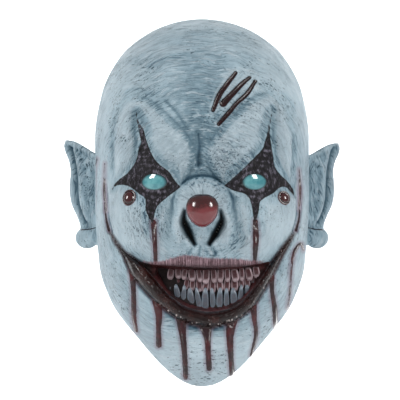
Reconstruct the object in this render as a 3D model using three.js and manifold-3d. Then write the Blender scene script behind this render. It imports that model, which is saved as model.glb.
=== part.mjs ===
// A full-head latex clown mask: one cast skin with glued ears, nose, lenses, studs and teeth,
// two flaps beside the slit at the back, and the foam pads and elastic strap that hold it on a head.
// Millimetres. +Z is up, the face looks along -Y, and the origin is the middle of the wearer's head.
import * as THREE from "three";
import { mergeVertices } from "three/addons/utils/BufferGeometryUtils.js";
import Module from "manifold-3d";

// ---- driving dimensions ----
const HEAD = { top: 151.5, bottom: -158, halfWidth: 92, front: 108, back: 110 };
const ROUNDNESS = 2.25; // of each level's outline: 2 is an ellipse
const WALL = 2.8; // latex thickness
const GAP = 0.35; // between pieces that touch
const RIM = { frontY: -62, frontZ: -152.5, backY: 98, backZ: -88 }; // the neck edge lies in one plane
const FOLD = { topX: 0, topY: 115.9, topZ: 42, bottomX: 60, bottomY: 99.5, bottomZ: -95, lean: 24 };
const SLIT = { halfGap: 1, stopHole: 3, topZ: 27 };
const EYE = { x: 40.8, z: 11, halfWidth: 11.5, halfHeight: 7.2, bulge: 5, shell: 1.8, rim: 4, proud: 1.5 };
const NOSE_TIP = { z: -13, halfWidth: 12.6, halfHeight: 13, depth: 11, behind: 5 };
const NOSTRIL = { x: 11.5, z: -28, halfWidth: 3, halfLength: 8.5, lean: 24 };
const STUD = { x: 63, z: -2.5, halfWidth: 5.2, halfHeight: 6.6, proud: 3.6, stem: 1.8, stemLength: 9 };
const MOUTH = { top: -59, halfWidth: 37, bottom: -95, cornerZ: -64 };
const TEETH = { count: 12, meet: -76, thick: 4.5, gum: 3.5, bite: 2.6 };
const SCRIM = { margin: 4.5, thick: 1 };
const EAR = { inset: 8, rootY: -4, flare: 40, thick: 5, rim: 3, lobe: 9 };
const STRAP = { z: 16, radius: 83, centreY: 14, legs: 34, height: 25, thick: 1.6 };
const SLIDER = { spanDeg: 8, wall: 2.4, clearance: 0.4, atDeg: 90 };
const RIVET = { radius: 2, head: 4.2, headThick: 1.4, fromEnd: 10 };
const ANCHOR = { halfLength: 16, halfHeight: 18 };
const PAD = { thick: 10 };
const PATCH = { halfWidth: 17, halfHeight: 10, thick: 1.2, above: 16 };

const COLOURS = {
  skin: 0xb2c4cc, nose: 0x7c1a20, lens: 0x3f9aa6, stud: 0x5a0f12, teeth: 0xa9a7a0, gauze: 0x1b1718,
  foam: 0x3a3b40, strap: 0x17171a, plastic: 0x202022, metal: 0x9a9a9c,
};

const wasm = await Module();
wasm.setup();

// ---- small maths ----
const rad = THREE.MathUtils.degToRad;
const clamp = THREE.MathUtils.clamp;
const smooth = (a, b, v) => THREE.MathUtils.smoothstep(v, a, b);
const vec = (x, y, z) => new THREE.Vector3(x, y, z);

// A smooth curve that never overshoots its points, given as [[t, value], ...] with t rising.
function monotone(points) {
  const last = points.length - 1;
  const slopes = points.slice(1).map((p, i) => (p[1] - points[i][1]) / (p[0] - points[i][0]));
  const tangents = points.map((_, i) => {
    if (i === 0) return slopes[0];
    if (i === last) return slopes[last - 1];
    const [a, b] = [slopes[i - 1], slopes[i]];
    return a * b <= 0 ? 0 : (2 * a * b) / (a + b);
  });
  return (t) => {
    let i = 0;
    while (i < last - 1 && t > points[i + 1][0]) i++;
    const [t0, v0] = points[i];
    const [t1, v1] = points[i + 1];
    const s = clamp((t - t0) / (t1 - t0), 0, 1);
    const ends = v0 * (1 + 2 * s) * (1 - s) ** 2 + v1 * s * s * (3 - 2 * s);
    return ends + (t1 - t0) * s * (1 - s) * (tangents[i] * (1 - s) - tangents[i + 1] * s);
  };
}

// ---- the head form: levels from chin to crown ----
// Height is a share of the head's top or bottom; width and depths are shares of its own.
const LEVELS = [
  { at: -1, width: 0, middle: -82, front: 0, back: 0 },
  { at: -0.94, width: 0.27, middle: -72, front: 0.24, back: 0.62 },
  { at: -0.78, width: 0.56, middle: -44, front: 0.57, back: 1.05 },
  { at: -0.56, width: 0.85, middle: -20, front: 0.78, back: 1.06 },
  { at: -0.38, width: 0.955, middle: -6, front: 0.9, back: 0.98 },
  { at: 0, width: 1, middle: 4, front: 0.97, back: 0.99 },
  { at: 0.33, width: 1, middle: 6, front: 0.99, back: 0.99 },
  { at: 0.57, width: 0.94, middle: 8, front: 0.93, back: 0.88 },
  { at: 0.78, width: 0.77, middle: 8, front: 0.78, back: 0.7 },
  { at: 0.915, width: 0.51, middle: 8, front: 0.52, back: 0.49 },
  { at: 1, width: 0, middle: 8, front: 0, back: 0 },
];
const share = (z) => (z > 0 ? z / HEAD.top : -z / HEAD.bottom);
// Squares are interpolated, so that the crown and the chin close round.
function radiusCurve(key, size) {
  const curve = monotone(LEVELS.map((level) => [level.at, (level[key] * size) ** 2]));
  return (z) => Math.sqrt(Math.max(curve(share(z)), 1e-6));
}
const middleCurve = monotone(LEVELS.map((level) => [level.at, level.middle]));
const widthAt = radiusCurve("width", HEAD.halfWidth);
const frontAt = radiusCurve("front", HEAD.front);
const backAt = radiusCurve("back", HEAD.back);

function outsideForm(p) {
  if (p.z >= HEAD.top || p.z <= HEAD.bottom) return true;
  const y = p.y - middleCurve(share(p.z));
  const depth = y < 0 ? frontAt(p.z) : backAt(p.z);
  return Math.abs(p.x / widthAt(p.z)) ** ROUNDNESS + Math.abs(y / depth) ** ROUNDNESS > 1;
}
function formPoint(direction) {
  let [near, far] = [10, 400];
  for (let i = 0; i < 32; i++) {
    const middle = (near + far) / 2;
    if (outsideForm(direction.clone().multiplyScalar(middle))) far = middle;
    else near = middle;
  }
  return direction.clone().multiplyScalar(near);
}
function formNormal(direction) {
  const step = 0.012;
  const side = vec(direction.y, -direction.x, 0);
  if (side.length() < 1e-3) side.set(1, 0, 0);
  side.normalize();
  const up = vec(0, 0, 0).crossVectors(side, direction).normalize();
  const at = (axis, s) => formPoint(direction.clone().addScaledVector(axis, s).normalize());
  const across = at(side, step).sub(at(side, -step));
  const along = at(up, step).sub(at(up, -step));
  const normal = across.cross(along).normalize();
  return normal.dot(direction) < 0 ? normal.negate() : normal;
}

// ---- the face, as a height over the form ----
const hump = (x, z, cx, cz, sx, sz) => Math.exp(-0.5 * (((x - cx) / sx) ** 2 + ((z - cz) / sz) ** 2));
const pit = (x, z, cx, cz, sx, sz) => Math.exp(-((((x - cx) / sx) ** 2 + ((z - cz) / sz) ** 2) ** 2));
// A rounded ridge along a line of [x, z, height] places.
function ridge(x, z, line, spread) {
  let highest = 0;
  for (let i = 0; i < line.length - 1; i++) {
    const [ax, az, ah] = line[i];
    const [bx, bz, bh] = line[i + 1];
    const [dx, dz] = [bx - ax, bz - az];
    const t = clamp(((x - ax) * dx + (z - az) * dz) / (dx * dx + dz * dz), 0, 1);
    const away = Math.hypot(x - ax - t * dx, z - az - t * dz);
    highest = Math.max(highest, (ah + t * (bh - ah)) * Math.exp(-0.5 * (away / spread) ** 2));
  }
  return highest;
}
const BROW = [[16, 24, 5], [27, 41, 9], [44, 59, 7], [59, 58, 5], [69, 34, 3]];
const LIP = [[72, -37, 1], [60, -57, 3.5], [44, -78, 4.5], [22, -97, 5], [0, -103, 5]];
function faceHeight(xSigned, z) {
  const x = Math.abs(xSigned);
  const brow = ridge(x, z, BROW, 9) - 5 * hump(x, z, 0, 36, 6, 13);
  const eye = -10 * pit(x, z, EYE.x, EYE.z, 24, 15);
  const bridge = 9 * hump(x, z, 0, 5, 9, 11);
  const ball = 23 * hump(x, z, 0, NOSE_TIP.z, 12, 12);
  const nose = ball + bridge + 9 * hump(x, z, 0, -28, 15, 8);
  const cheek = 9 * hump(x, z, 50, -26, 19, 18);
  const mouth = -7 * pit(x, z, 0, (MOUTH.top + MOUTH.bottom) / 2, MOUTH.halfWidth + 8, 23);
  return brow + eye + nose + cheek + mouth + ridge(x, z, LIP, 9) + 8 * hump(x, z, 0, -132, 22, 15);
}
const faceShare = (normal) => smooth(0.02, 0.4, -normal.y);

function outerPoint(direction, proud = 0) {
  const point = formPoint(direction);
  const normal = formNormal(direction);
  return point.addScaledVector(normal, faceShare(normal) * faceHeight(point.x, point.z) + proud);
}
// The inner wall follows the lowest height near each place, so the latex keeps its thickness.
const AROUND = [[0, 0], [6, 0], [-6, 0], [0, 6], [0, -6], [4, 4], [4, -4], [-4, 4], [-4, -4]];
function innerPoint(direction, depth = 0) {
  const point = formPoint(direction);
  const normal = formNormal(direction);
  const lowest = Math.min(...AROUND.map(([dx, dz]) => faceHeight(point.x + dx, point.z + dz)));
  return point.addScaledVector(normal, faceShare(normal) * lowest - WALL - depth);
}

// ---- solids ----
function signedVolume(places, index) {
  let volume = 0;
  const corner = (k) => vec(0, 0, 0).fromBufferAttribute(places, index[k]);
  for (let k = 0; k < index.length; k += 3) volume += corner(k).dot(corner(k + 1).cross(corner(k + 2)));
  return volume;
}
// Welds the corners, drops faces with no area, and turns a piece that came out inside out.
function toSolid(geometry) {
  const bare = new THREE.BufferGeometry().setAttribute("position", geometry.getAttribute("position"));
  if (geometry.index) bare.setIndex(geometry.index);
  const merged = mergeVertices(bare.index ? bare.toNonIndexed() : bare, 1e-3);
  const index = merged.index.array;
  const inverted = signedVolume(merged.attributes.position, index) < 0;
  const kept = [];
  for (let k = 0; k < index.length; k += 3) {
    const [a, b, c] = [index[k], index[k + 1], index[k + 2]];
    if (a !== b && b !== c && c !== a) kept.push(a, inverted ? c : b, inverted ? b : c);
  }
  return new wasm.Manifold(
    new wasm.Mesh({
      numProp: 3,
      vertProperties: new Float32Array(merged.attributes.position.array),
      triVerts: new Uint32Array(kept),
    }),
  );
}
function toGeometry(solid) {
  const mesh = solid.getMesh();
  const geometry = new THREE.BufferGeometry();
  geometry.setAttribute("position", new THREE.BufferAttribute(mesh.vertProperties, mesh.numProp));
  geometry.setIndex(new THREE.BufferAttribute(mesh.triVerts, 1));
  geometry.computeVertexNormals();
  return geometry;
}
const placed = (geometry, matrix) => toSolid(geometry.clone().applyMatrix4(matrix));
const moved = (x, y, z) => new THREE.Matrix4().makeTranslation(x, y, z);
const turned = (axis, deg) => new THREE.Matrix4().makeRotationAxis(axis, rad(deg));
const mirrored = (solid) => placed(toGeometry(solid), new THREE.Matrix4().makeScale(-1, 1, 1));

function block(x0, x1, y0, y1, z0, z1) {
  const geometry = new THREE.BoxGeometry(x1 - x0, y1 - y0, z1 - z0);
  return placed(geometry, moved((x0 + x1) / 2, (y0 + y1) / 2, (z0 + z1) / 2));
}
// A large block filling everything on the side of a plane that its normal points to.
function beyondPlane(point, normal) {
  const size = 700;
  const turn = new THREE.Matrix4().makeRotationFromQuaternion(
    new THREE.Quaternion().setFromUnitVectors(vec(0, 0, 1), normal),
  );
  const centre = point.clone().addScaledVector(normal, size / 2);
  const place = moved(centre.x, centre.y, centre.z).multiply(turn);
  return placed(new THREE.BoxGeometry(size, size, size), place);
}
// A prism along Y between two depths, from an outline drawn in X and Z.
function prismAlongY(outline, y0, y1) {
  const shape = new THREE.Shape(outline.map(([x, z]) => new THREE.Vector2(x, z)));
  const geometry = new THREE.ExtrudeGeometry(shape, { depth: y1 - y0, bevelEnabled: false, steps: 1 });
  return placed(geometry, moved(0, y1, 0).multiply(turned(vec(1, 0, 0), 90)));
}
function ellipse(cx, cz, halfWidth, halfHeight, lean = 0, count = 20) {
  const [c, s] = [Math.cos(rad(lean)), Math.sin(rad(lean))];
  return Array.from({ length: count }, (_, i) => {
    const turn = (i / count) * 2 * Math.PI;
    const [u, v] = [halfWidth * Math.cos(turn), halfHeight * Math.sin(turn)];
    return [cx + u * c - v * s, cz + u * s + v * c];
  });
}

// ---- rings of points from the crown to the neck edge ----
const directionAt = (polar, azimuth) =>
  vec(Math.sin(polar) * Math.sin(azimuth), -Math.sin(polar) * Math.cos(azimuth), Math.cos(polar));
const rimAlong = vec(0, RIM.backY - RIM.frontY, RIM.backZ - RIM.frontZ).normalize();
const rimNormal = vec(0, rimAlong.z, -rimAlong.y); // points out of the neck
const rimPoint = vec(0, RIM.frontY, RIM.frontZ);
function rimPolar(azimuth, surface) {
  let [above, below] = [rad(70), rad(172)];
  for (let i = 0; i < 24; i++) {
    const middle = (above + below) / 2;
    if (surface(directionAt(middle, azimuth)).sub(rimPoint).dot(rimNormal) < 0) above = middle;
    else below = middle;
  }
  return (above + below) / 2;
}
// Columns draw together over the face, and so do the rows.
function columnAzimuth(j, columns) {
  const turn = (j / columns) * 2 * Math.PI;
  return turn - 0.55 * Math.sin(turn);
}
function rowShares(crown, face, jaw) {
  const spread = (from, to, n) => Array.from({ length: n }, (_, i) => from + ((to - from) * (i + 1)) / n);
  return [...spread(0, 0.3, crown), ...spread(0.3, 0.88, face), ...spread(0.88, 1, jaw)];
}
function makeGrid(columns, shares, surface) {
  const azimuths = Array.from({ length: columns }, (_, j) => columnAzimuth(j, columns));
  return { columns, shares, azimuths, edges: azimuths.map((azimuth) => rimPolar(azimuth, surface)) };
}
const OUTER = makeGrid(54, rowShares(7, 24, 4), (d) => outerPoint(d));
const INNER = makeGrid(36, rowShares(5, 16, 3), (d) => innerPoint(d));

function ringPoints(grid, surface) {
  const points = [surface(directionAt(1e-4, 0))];
  for (const part of grid.shares)
    grid.azimuths.forEach((azimuth, j) => {
      points.push(surface(directionAt(part * grid.edges[j], azimuth)));
    });
  return points;
}
function ringFaces(grid, first) {
  const faces = [];
  const at = (i, j) => first + 1 + i * grid.columns + (j % grid.columns);
  for (let j = 0; j < grid.columns; j++) faces.push([first, at(0, j), at(0, j + 1)]);
  for (let i = 0; i < grid.shares.length - 1; i++)
    for (let j = 0; j < grid.columns; j++) {
      const [a, b, c, d] = [at(i, j), at(i + 1, j), at(i + 1, j + 1), at(i, j + 1)];
      // The two sides of the face are split the opposite way, so that they mirror each other.
      if (j < grid.columns / 2) faces.push([a, b, c], [a, c, d]);
      else faces.push([a, b, d], [b, c, d]);
    }
  return faces;
}
const lastRing = (grid, first) => first + 1 + (grid.shares.length - 1) * grid.columns;
function fromFaces(points, faces) {
  const geometry = new THREE.BufferGeometry();
  const places = points.flatMap((p) => [p.x, p.y, p.z]);
  geometry.setAttribute("position", new THREE.Float32BufferAttribute(places, 3));
  geometry.setIndex(faces.flat());
  return toSolid(geometry);
}
// A solid form, closed flat at the neck edge.
function closedForm(grid, surface) {
  const points = ringPoints(grid, surface);
  const faces = ringFaces(grid, 0);
  const edge = lastRing(grid, 0);
  const centre = points.slice(edge).reduce((sum, p) => sum.add(p), vec(0, 0, 0));
  centre.divideScalar(grid.columns);
  points.push(centre);
  for (let j = 0; j < grid.columns; j++) {
    faces.push([points.length - 1, edge + ((j + 1) % grid.columns), edge + j]);
  }
  return fromFaces(points, faces);
}
// The skin: outer rings, inner rings and the flat strip between them at the neck edge.
function skinShell() {
  const outer = ringPoints(OUTER, (d) => outerPoint(d));
  const inner = ringPoints(INNER, (d) => innerPoint(d));
  const faces = [...ringFaces(OUTER, 0), ...ringFaces(INNER, outer.length).map(([a, b, c]) => [a, c, b])];
  const [outerEdge, innerEdge] = [lastRing(OUTER, 0), lastRing(INNER, outer.length)];
  let [i, j] = [0, 0];
  while (i < OUTER.columns || j < INNER.columns) {
    const here = [outerEdge + (i % OUTER.columns), innerEdge + (j % INNER.columns)];
    if (j === INNER.columns || (i < OUTER.columns && (i + 1) / OUTER.columns <= (j + 1) / INNER.columns)) {
      i++;
      faces.push([here[0], here[1], outerEdge + (i % OUTER.columns)]);
    } else {
      j++;
      faces.push([here[0], here[1], innerEdge + (j % INNER.columns)]);
    }
  }
  return fromFaces([...outer, ...inner], faces);
}
const skin = skinShell();
const outerForm = closedForm(OUTER, (d) => outerPoint(d));
const outsideGlued = closedForm(OUTER, (d) => outerPoint(d, GAP));
const innerForm = (depth) => closedForm(INNER, (d) => innerPoint(d, depth));
// A layer lying on the inner wall, `from` and `to` being depths inside it.
const layer = (from, to) => innerForm(from).subtract(innerForm(to));

// The outer surface straight ahead of a place on the face.
const bothSides = new THREE.MeshBasicMaterial({ side: THREE.DoubleSide });
const outerMesh = new THREE.Mesh(toGeometry(outerForm), bothSides);
function faceAt(x, z) {
  const ray = new THREE.Raycaster(vec(x, -400, z), vec(0, 1, 0));
  return ray.intersectObject(outerMesh)[0].point;
}

// ---- openings in the skin ----
const ON_FACE = [-220, -40];
function eyeHole(side) {
  const outline = ellipse(side * EYE.x, EYE.z, EYE.halfWidth + GAP, EYE.halfHeight + GAP);
  return prismAlongY(outline, ...ON_FACE);
}
const nostrilHole = (side) =>
  prismAlongY(
    ellipse(side * NOSTRIL.x, NOSTRIL.z, NOSTRIL.halfWidth, NOSTRIL.halfLength, -side * NOSTRIL.lean, 12),
    ...ON_FACE,
  );

function studHole(side) {
  const outline = ellipse(side * STUD.x, STUD.z, STUD.stem + GAP, STUD.stem + GAP, 0, 12);
  return prismAlongY(outline, ...ON_FACE);
}

// The grin: a nearly straight top with a deep curve below.
function mouthOutline(grow) {
  const half = MOUTH.halfWidth + grow;
  const count = 14;
  const low = Array.from({ length: count + 1 }, (_, i) => {
    const turn = (i / count) * Math.PI;
    return [-half * Math.cos(turn), MOUTH.cornerZ + (MOUTH.bottom - grow - MOUTH.cornerZ) * Math.sin(turn) ** 0.8];
  });
  const high = [0.86, 0.45, 0, -0.45, -0.86].map((s) => [half * s, MOUTH.top + grow + (s === 0 ? 1 : 0)]);
  return [...low, ...high];
}

// ---- the flaps beside the slit at the back ----
const foldTop = vec(FOLD.topX, FOLD.topY, FOLD.topZ);
const foldAxis = vec(FOLD.bottomX, FOLD.bottomY, FOLD.bottomZ).sub(foldTop).normalize();
const foldOut = vec(Math.sin(rad(FOLD.lean)), Math.cos(rad(FOLD.lean)), 0);
const foldNormal = foldAxis.clone().cross(foldOut).normalize();
if (foldNormal.x > 0) foldNormal.negate(); // points towards the slit
const behind = block(-200, 200, 30, 200, -200, FOLD.topZ);
const rightHalf = (from) => block(from, 300, -300, 300, -300, 300);
const flapRegion = (inset) => {
  const start = foldTop.clone().addScaledVector(foldNormal, inset);
  return beyondPlane(start, foldNormal).intersect(behind);
};
const stopHole = prismAlongY(ellipse(0, SLIT.topZ, SLIT.stopHole, SLIT.stopHole, 0, 16), 60, 200);
const rightFlap = () =>
  skin
    .intersect(flapRegion(GAP))
    .intersect(rightHalf(SLIT.halfGap))
    .subtract(block(-20, 20, 60, 200, SLIT.topZ, 200));
function slitOpening() {
  const right = flapRegion(0).intersect(rightHalf(0));
  return right.add(mirrored(right));
}
function napePad() {
  const outline = [[7, -22], [18, -22], [32, -62], [27, -74], [7, -74]];
  return layer(GAP, PAD.thick).intersect(prismAlongY(outline, 30, 200));
}

function headSkin() {
  let solid = skin.subtract(slitOpening()).subtract(stopHole);
  solid = solid.subtract(prismAlongY(mouthOutline(0), ...ON_FACE));
  for (const side of [-1, 1]) {
    solid = solid.subtract(eyeHole(side)).subtract(nostrilHole(side)).subtract(studHole(side));
  }
  return solid;
}

// ---- pieces set into the face ----
// A domed shell, open at the back, that fills its hole in the skin.
function eyeLens() {
  const depth = faceAt(EYE.x, EYE.z).y - EYE.proud + EYE.bulge;
  const dome = (r, h, turn) => new THREE.Vector2(r * Math.sin(turn), h * Math.cos(turn));
  const arc = Array.from({ length: 6 }, (_, i) => (i / 5) * (Math.PI / 2));
  const inner = EYE.halfWidth - EYE.shell;
  const profile = [
    ...arc.map((turn) => dome(EYE.halfWidth, EYE.bulge, turn)),
    new THREE.Vector2(EYE.halfWidth, -EYE.rim),
    new THREE.Vector2(inner, -EYE.rim),
    ...arc.map((turn) => dome(inner, EYE.bulge - EYE.shell, turn)).reverse(),
  ];
  const flat = new THREE.Matrix4().makeScale(1, 1, EYE.halfHeight / EYE.halfWidth);
  return placed(
    new THREE.LatheGeometry(profile, 18),
    moved(EYE.x, depth, EYE.z).multiply(turned(vec(1, 0, 0), 180)).multiply(flat),
  );
}
function noseTip() {
  const y = faceAt(0, NOSE_TIP.z).y + NOSE_TIP.behind;
  const size = new THREE.Matrix4().makeScale(NOSE_TIP.halfWidth, NOSE_TIP.depth, NOSE_TIP.halfHeight);
  const place = moved(0, y, NOSE_TIP.z).multiply(size);
  return placed(new THREE.SphereGeometry(1, 18, 12), place).subtract(outsideGlued);
}
function cheekStud() {
  const y = faceAt(STUD.x, STUD.z).y;
  const size = new THREE.Matrix4().makeScale(STUD.halfWidth, STUD.proud * 1.6, STUD.halfHeight);
  const place = moved(STUD.x, y, STUD.z).multiply(size);
  const dome = placed(new THREE.SphereGeometry(1, 16, 10), place).subtract(outsideGlued);
  const round = ellipse(STUD.x, STUD.z, STUD.stem, STUD.stem, 0, 12);
  return dome.add(prismAlongY(round, y - STUD.proud, y + STUD.stemLength));
}

// ---- teeth and gauze, lying on the inner wall behind the mouth ----
function toothRow(from, to, edge, point, meet) {
  const pitch = (to - from) / TEETH.count;
  const places = [];
  for (let i = 0; i < TEETH.count; i++)
    for (const s of [0.08, 0.3, 0.7, 0.92]) {
      const drop = s > 0.2 && s < 0.8 ? meet : meet - point;
      places.push([from + pitch * (i + s), drop]);
    }
  return [[from, edge], ...places, [to, edge]];
}
function upperTeeth() {
  const half = MOUTH.halfWidth + TEETH.gum;
  const row = toothRow(-half, half, MOUTH.top + TEETH.gum, -TEETH.bite, TEETH.meet + GAP);
  return layer(GAP, TEETH.thick).intersect(prismAlongY(row, ...ON_FACE));
}
function lowerTeeth() {
  const half = MOUTH.halfWidth + TEETH.gum;
  const row = toothRow(-half, half, MOUTH.bottom - TEETH.gum - 5, TEETH.bite, TEETH.meet - GAP);
  const inMouth = prismAlongY(mouthOutline(TEETH.gum), ...ON_FACE);
  return layer(GAP, TEETH.thick).intersect(prismAlongY(row, ...ON_FACE)).intersect(inMouth);
}
function mouthMesh() {
  const from = TEETH.thick + GAP;
  return layer(from, from + SCRIM.thick).intersect(prismAlongY(mouthOutline(SCRIM.margin), ...ON_FACE));
}

// ---- ears ----
// The outline is drawn in the ear's own plane: out from the root, and up.
const EAR_EDGE = [[45, 46], [38, 33], [35, 16], [34, -6], [29, -22], [26, -34]];
function ear() {
  const outline = [[-12, 30], [4, 40], [22, 43], ...EAR_EDGE, [12, -44], [-12, -34]];
  const shape = new THREE.Shape(outline.map((p) => new THREE.Vector2(...p)));
  const plate = new THREE.ExtrudeGeometry(shape, { depth: EAR.thick, bevelEnabled: false, steps: 1 });
  const edgePoints = [[20, 43], ...EAR_EDGE].map(([u, v]) => vec(u, v, EAR.thick / 2));
  const edge = new THREE.CatmullRomCurve3(edgePoints);
  const round = new THREE.Shape().absarc(0, 0, EAR.rim, 0, 2 * Math.PI);
  const sweep = { extrudePath: edge, steps: 14, curveSegments: 4, bevelEnabled: false };
  const rim = new THREE.ExtrudeGeometry(round, sweep);
  const lobe = new THREE.SphereGeometry(EAR.lobe, 12, 9).translate(19, -38, EAR.thick / 2);
  // Stand the plane upright, facing forwards, and swing it back by the flare.
  const place = moved(HEAD.halfWidth - EAR.inset, EAR.rootY, 0)
    .multiply(turned(vec(0, 0, 1), EAR.flare))
    .multiply(turned(vec(1, 0, 0), 90));
  const whole = placed(plate, place).add(placed(rim, place)).add(placed(lobe, place));
  return whole.subtract(outsideGlued);
}

// ---- foam pads ----
const padLayer = layer(GAP, PAD.thick);
const aboveRim = beyondPlane(rimPoint.clone().addScaledVector(rimNormal, -4), rimNormal.clone().negate());
const foreheadPad = () => padLayer.intersect(prismAlongY(ellipse(0, 70, 48, 17, 0, 24), -220, 0));
const crownPad = () => {
  const disc = new THREE.CylinderGeometry(38, 38, 120, 24);
  return padLayer.intersect(placed(disc, moved(0, 10, 150).multiply(turned(vec(1, 0, 0), 90))));
};
const cheekPad = () => padLayer.intersect(block(40, 120, -48, 2, -52, -12));
const chinPad = () => padLayer.intersect(block(-20, 20, -120, -66, -148, -116)).intersect(aboveRim);
const slitPatch = () => {
  const outline = ellipse(0, FOLD.topZ + PATCH.above, PATCH.halfWidth, PATCH.halfHeight, 0, 20);
  return layer(GAP, GAP + PATCH.thick).intersect(prismAlongY(outline, 30, 200));
};

// ---- strap ----
// A flat ribbon in plan: a half circle round the back with a straight leg to each anchor.
function ribbon(inner, outer, fromDeg, toDeg, legs, height) {
  const steps = Math.max(2, Math.round((toDeg - fromDeg) / 6));
  const arc = (r) =>
    Array.from({ length: steps + 1 }, (_, i) => {
      const turn = rad(fromDeg + ((toDeg - fromDeg) * i) / steps);
      return [r * Math.cos(turn), r * Math.sin(turn)];
    });
  const run = (r) => (legs ? [[r, -legs], ...arc(r), [-r, -legs]] : arc(r));
  const outline = [...run(outer), ...run(inner).reverse()];
  const shape = new THREE.Shape(outline.map((p) => new THREE.Vector2(...p)));
  const geometry = new THREE.ExtrudeGeometry(shape, { depth: height, bevelEnabled: false, steps: 1 });
  return placed(geometry, moved(0, STRAP.centreY, STRAP.z - height / 2));
}
const halfThick = STRAP.thick / 2;
const rivetY = STRAP.centreY - STRAP.legs + RIVET.fromEnd;
function rivetHole(length) {
  const hole = new THREE.CylinderGeometry(RIVET.radius + GAP, RIVET.radius + GAP, length, 14);
  return placed(hole, moved(STRAP.radius, rivetY, STRAP.z).multiply(turned(vec(0, 0, 1), 90)));
}
function headStrap() {
  const inside = STRAP.radius - halfThick;
  const band = ribbon(inside, STRAP.radius + halfThick, 0, 180, STRAP.legs, STRAP.height);
  const hole = rivetHole(8);
  return band.subtract(hole).subtract(mirrored(hole));
}
const ANCHOR_FACE = STRAP.radius + halfThick + GAP;
function strapAnchor() {
  const boss = block(
    ANCHOR_FACE, 120,
    rivetY - ANCHOR.halfLength / 2, rivetY + ANCHOR.halfLength,
    STRAP.z - ANCHOR.halfHeight, STRAP.z + ANCHOR.halfHeight,
  );
  const seat = new THREE.CylinderGeometry(RIVET.radius + GAP, RIVET.radius + GAP, 3, 14);
  const place = moved(ANCHOR_FACE + 0.5, rivetY, STRAP.z).multiply(turned(vec(0, 0, 1), 90));
  return innerForm(GAP).intersect(boss).subtract(placed(seat, place));
}
function strapRivet() {
  const upright = turned(vec(0, 0, 1), 90);
  const headX = STRAP.radius - halfThick - GAP - RIVET.headThick / 2;
  const head = new THREE.CylinderGeometry(RIVET.head * 0.8, RIVET.head, RIVET.headThick, 18);
  const tip = ANCHOR_FACE + 1.5;
  const shank = new THREE.CylinderGeometry(RIVET.radius, RIVET.radius, tip - headX, 14);
  return placed(head, moved(headX, rivetY, STRAP.z).multiply(upright)).add(
    placed(shank, moved((headX + tip) / 2, rivetY, STRAP.z).multiply(upright)),
  );
}
function strapSlider() {
  const { wall, clearance, spanDeg, atDeg } = SLIDER;
  const [from, to] = [atDeg - spanDeg / 2, atDeg + spanDeg / 2];
  const inner = STRAP.radius - halfThick - clearance;
  const outer = STRAP.radius + halfThick + clearance;
  const tall = STRAP.height + 2 * clearance;
  const frame = ribbon(inner - wall, outer + wall, from, to, 0, tall + 2 * wall);
  return frame.subtract(ribbon(inner, outer, from - 3, to + 3, 0, tall));
}

// ---- assembly ----
const group = new THREE.Group();
group.name = "latex_halloween_mask";
function addNode(name, solid, colour, roughness) {
  const material = new THREE.MeshStandardMaterial({ color: COLOURS[colour], roughness });
  material.name = colour;
  const mesh = new THREE.Mesh(toGeometry(solid), material);
  mesh.name = name;
  group.add(mesh);
}
// The wearer's right is at -X.
function addPair(name, solid, colour, roughness) {
  addNode(`${name}_left`, solid, colour, roughness);
  addNode(`${name}_right`, mirrored(solid), colour, roughness);
}
addNode("head_skin", headSkin(), "skin", 0.55);
addPair("back_flap", rightFlap(), "skin", 0.55);
addPair("ear", ear(), "skin", 0.5);
addPair("eye_lens", eyeLens(), "lens", 0.15);
addNode("nose_tip", noseTip(), "nose", 0.2);
addPair("cheek_stud", cheekStud(), "stud", 0.15);
addNode("upper_teeth", upperTeeth(), "teeth", 0.3);
addNode("lower_teeth", lowerTeeth(), "teeth", 0.3);
addNode("mouth_mesh", mouthMesh(), "gauze", 0.9);
addNode("forehead_pad", foreheadPad(), "foam", 0.95);
addNode("crown_pad", crownPad(), "foam", 0.95);
addPair("cheek_pad", cheekPad(), "foam", 0.95);
addNode("chin_pad", chinPad(), "foam", 0.95);
addPair("nape_pad", napePad(), "foam", 0.95);
addNode("slit_patch", slitPatch(), "strap", 0.8);
addNode("head_strap", headStrap(), "strap", 0.8);
addPair("strap_anchor", strapAnchor(), "skin", 0.6);
addPair("strap_rivet", strapRivet(), "metal", 0.3);
addNode("strap_slider", strapSlider(), "plastic", 0.4);

export default group;
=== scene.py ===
import math
import random
import bpy
import numpy as np
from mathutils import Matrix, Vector


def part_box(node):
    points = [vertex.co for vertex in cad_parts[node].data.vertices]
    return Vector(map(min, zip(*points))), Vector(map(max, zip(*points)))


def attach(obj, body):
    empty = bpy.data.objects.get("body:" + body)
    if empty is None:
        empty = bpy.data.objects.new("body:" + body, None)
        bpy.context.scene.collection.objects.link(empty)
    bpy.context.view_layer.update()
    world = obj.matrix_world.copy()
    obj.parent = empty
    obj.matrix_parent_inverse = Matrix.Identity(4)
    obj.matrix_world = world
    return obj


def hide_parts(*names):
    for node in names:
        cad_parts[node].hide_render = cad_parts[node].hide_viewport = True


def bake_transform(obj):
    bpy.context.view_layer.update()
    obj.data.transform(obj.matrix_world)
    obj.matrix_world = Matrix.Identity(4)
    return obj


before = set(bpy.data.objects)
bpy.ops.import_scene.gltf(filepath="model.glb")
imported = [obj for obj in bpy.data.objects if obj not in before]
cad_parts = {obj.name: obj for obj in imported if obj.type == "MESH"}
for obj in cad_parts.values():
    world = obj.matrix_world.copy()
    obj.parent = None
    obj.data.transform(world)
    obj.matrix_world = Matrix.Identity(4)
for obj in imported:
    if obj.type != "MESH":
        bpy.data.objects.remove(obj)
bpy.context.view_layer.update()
mm = 0.001

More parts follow.
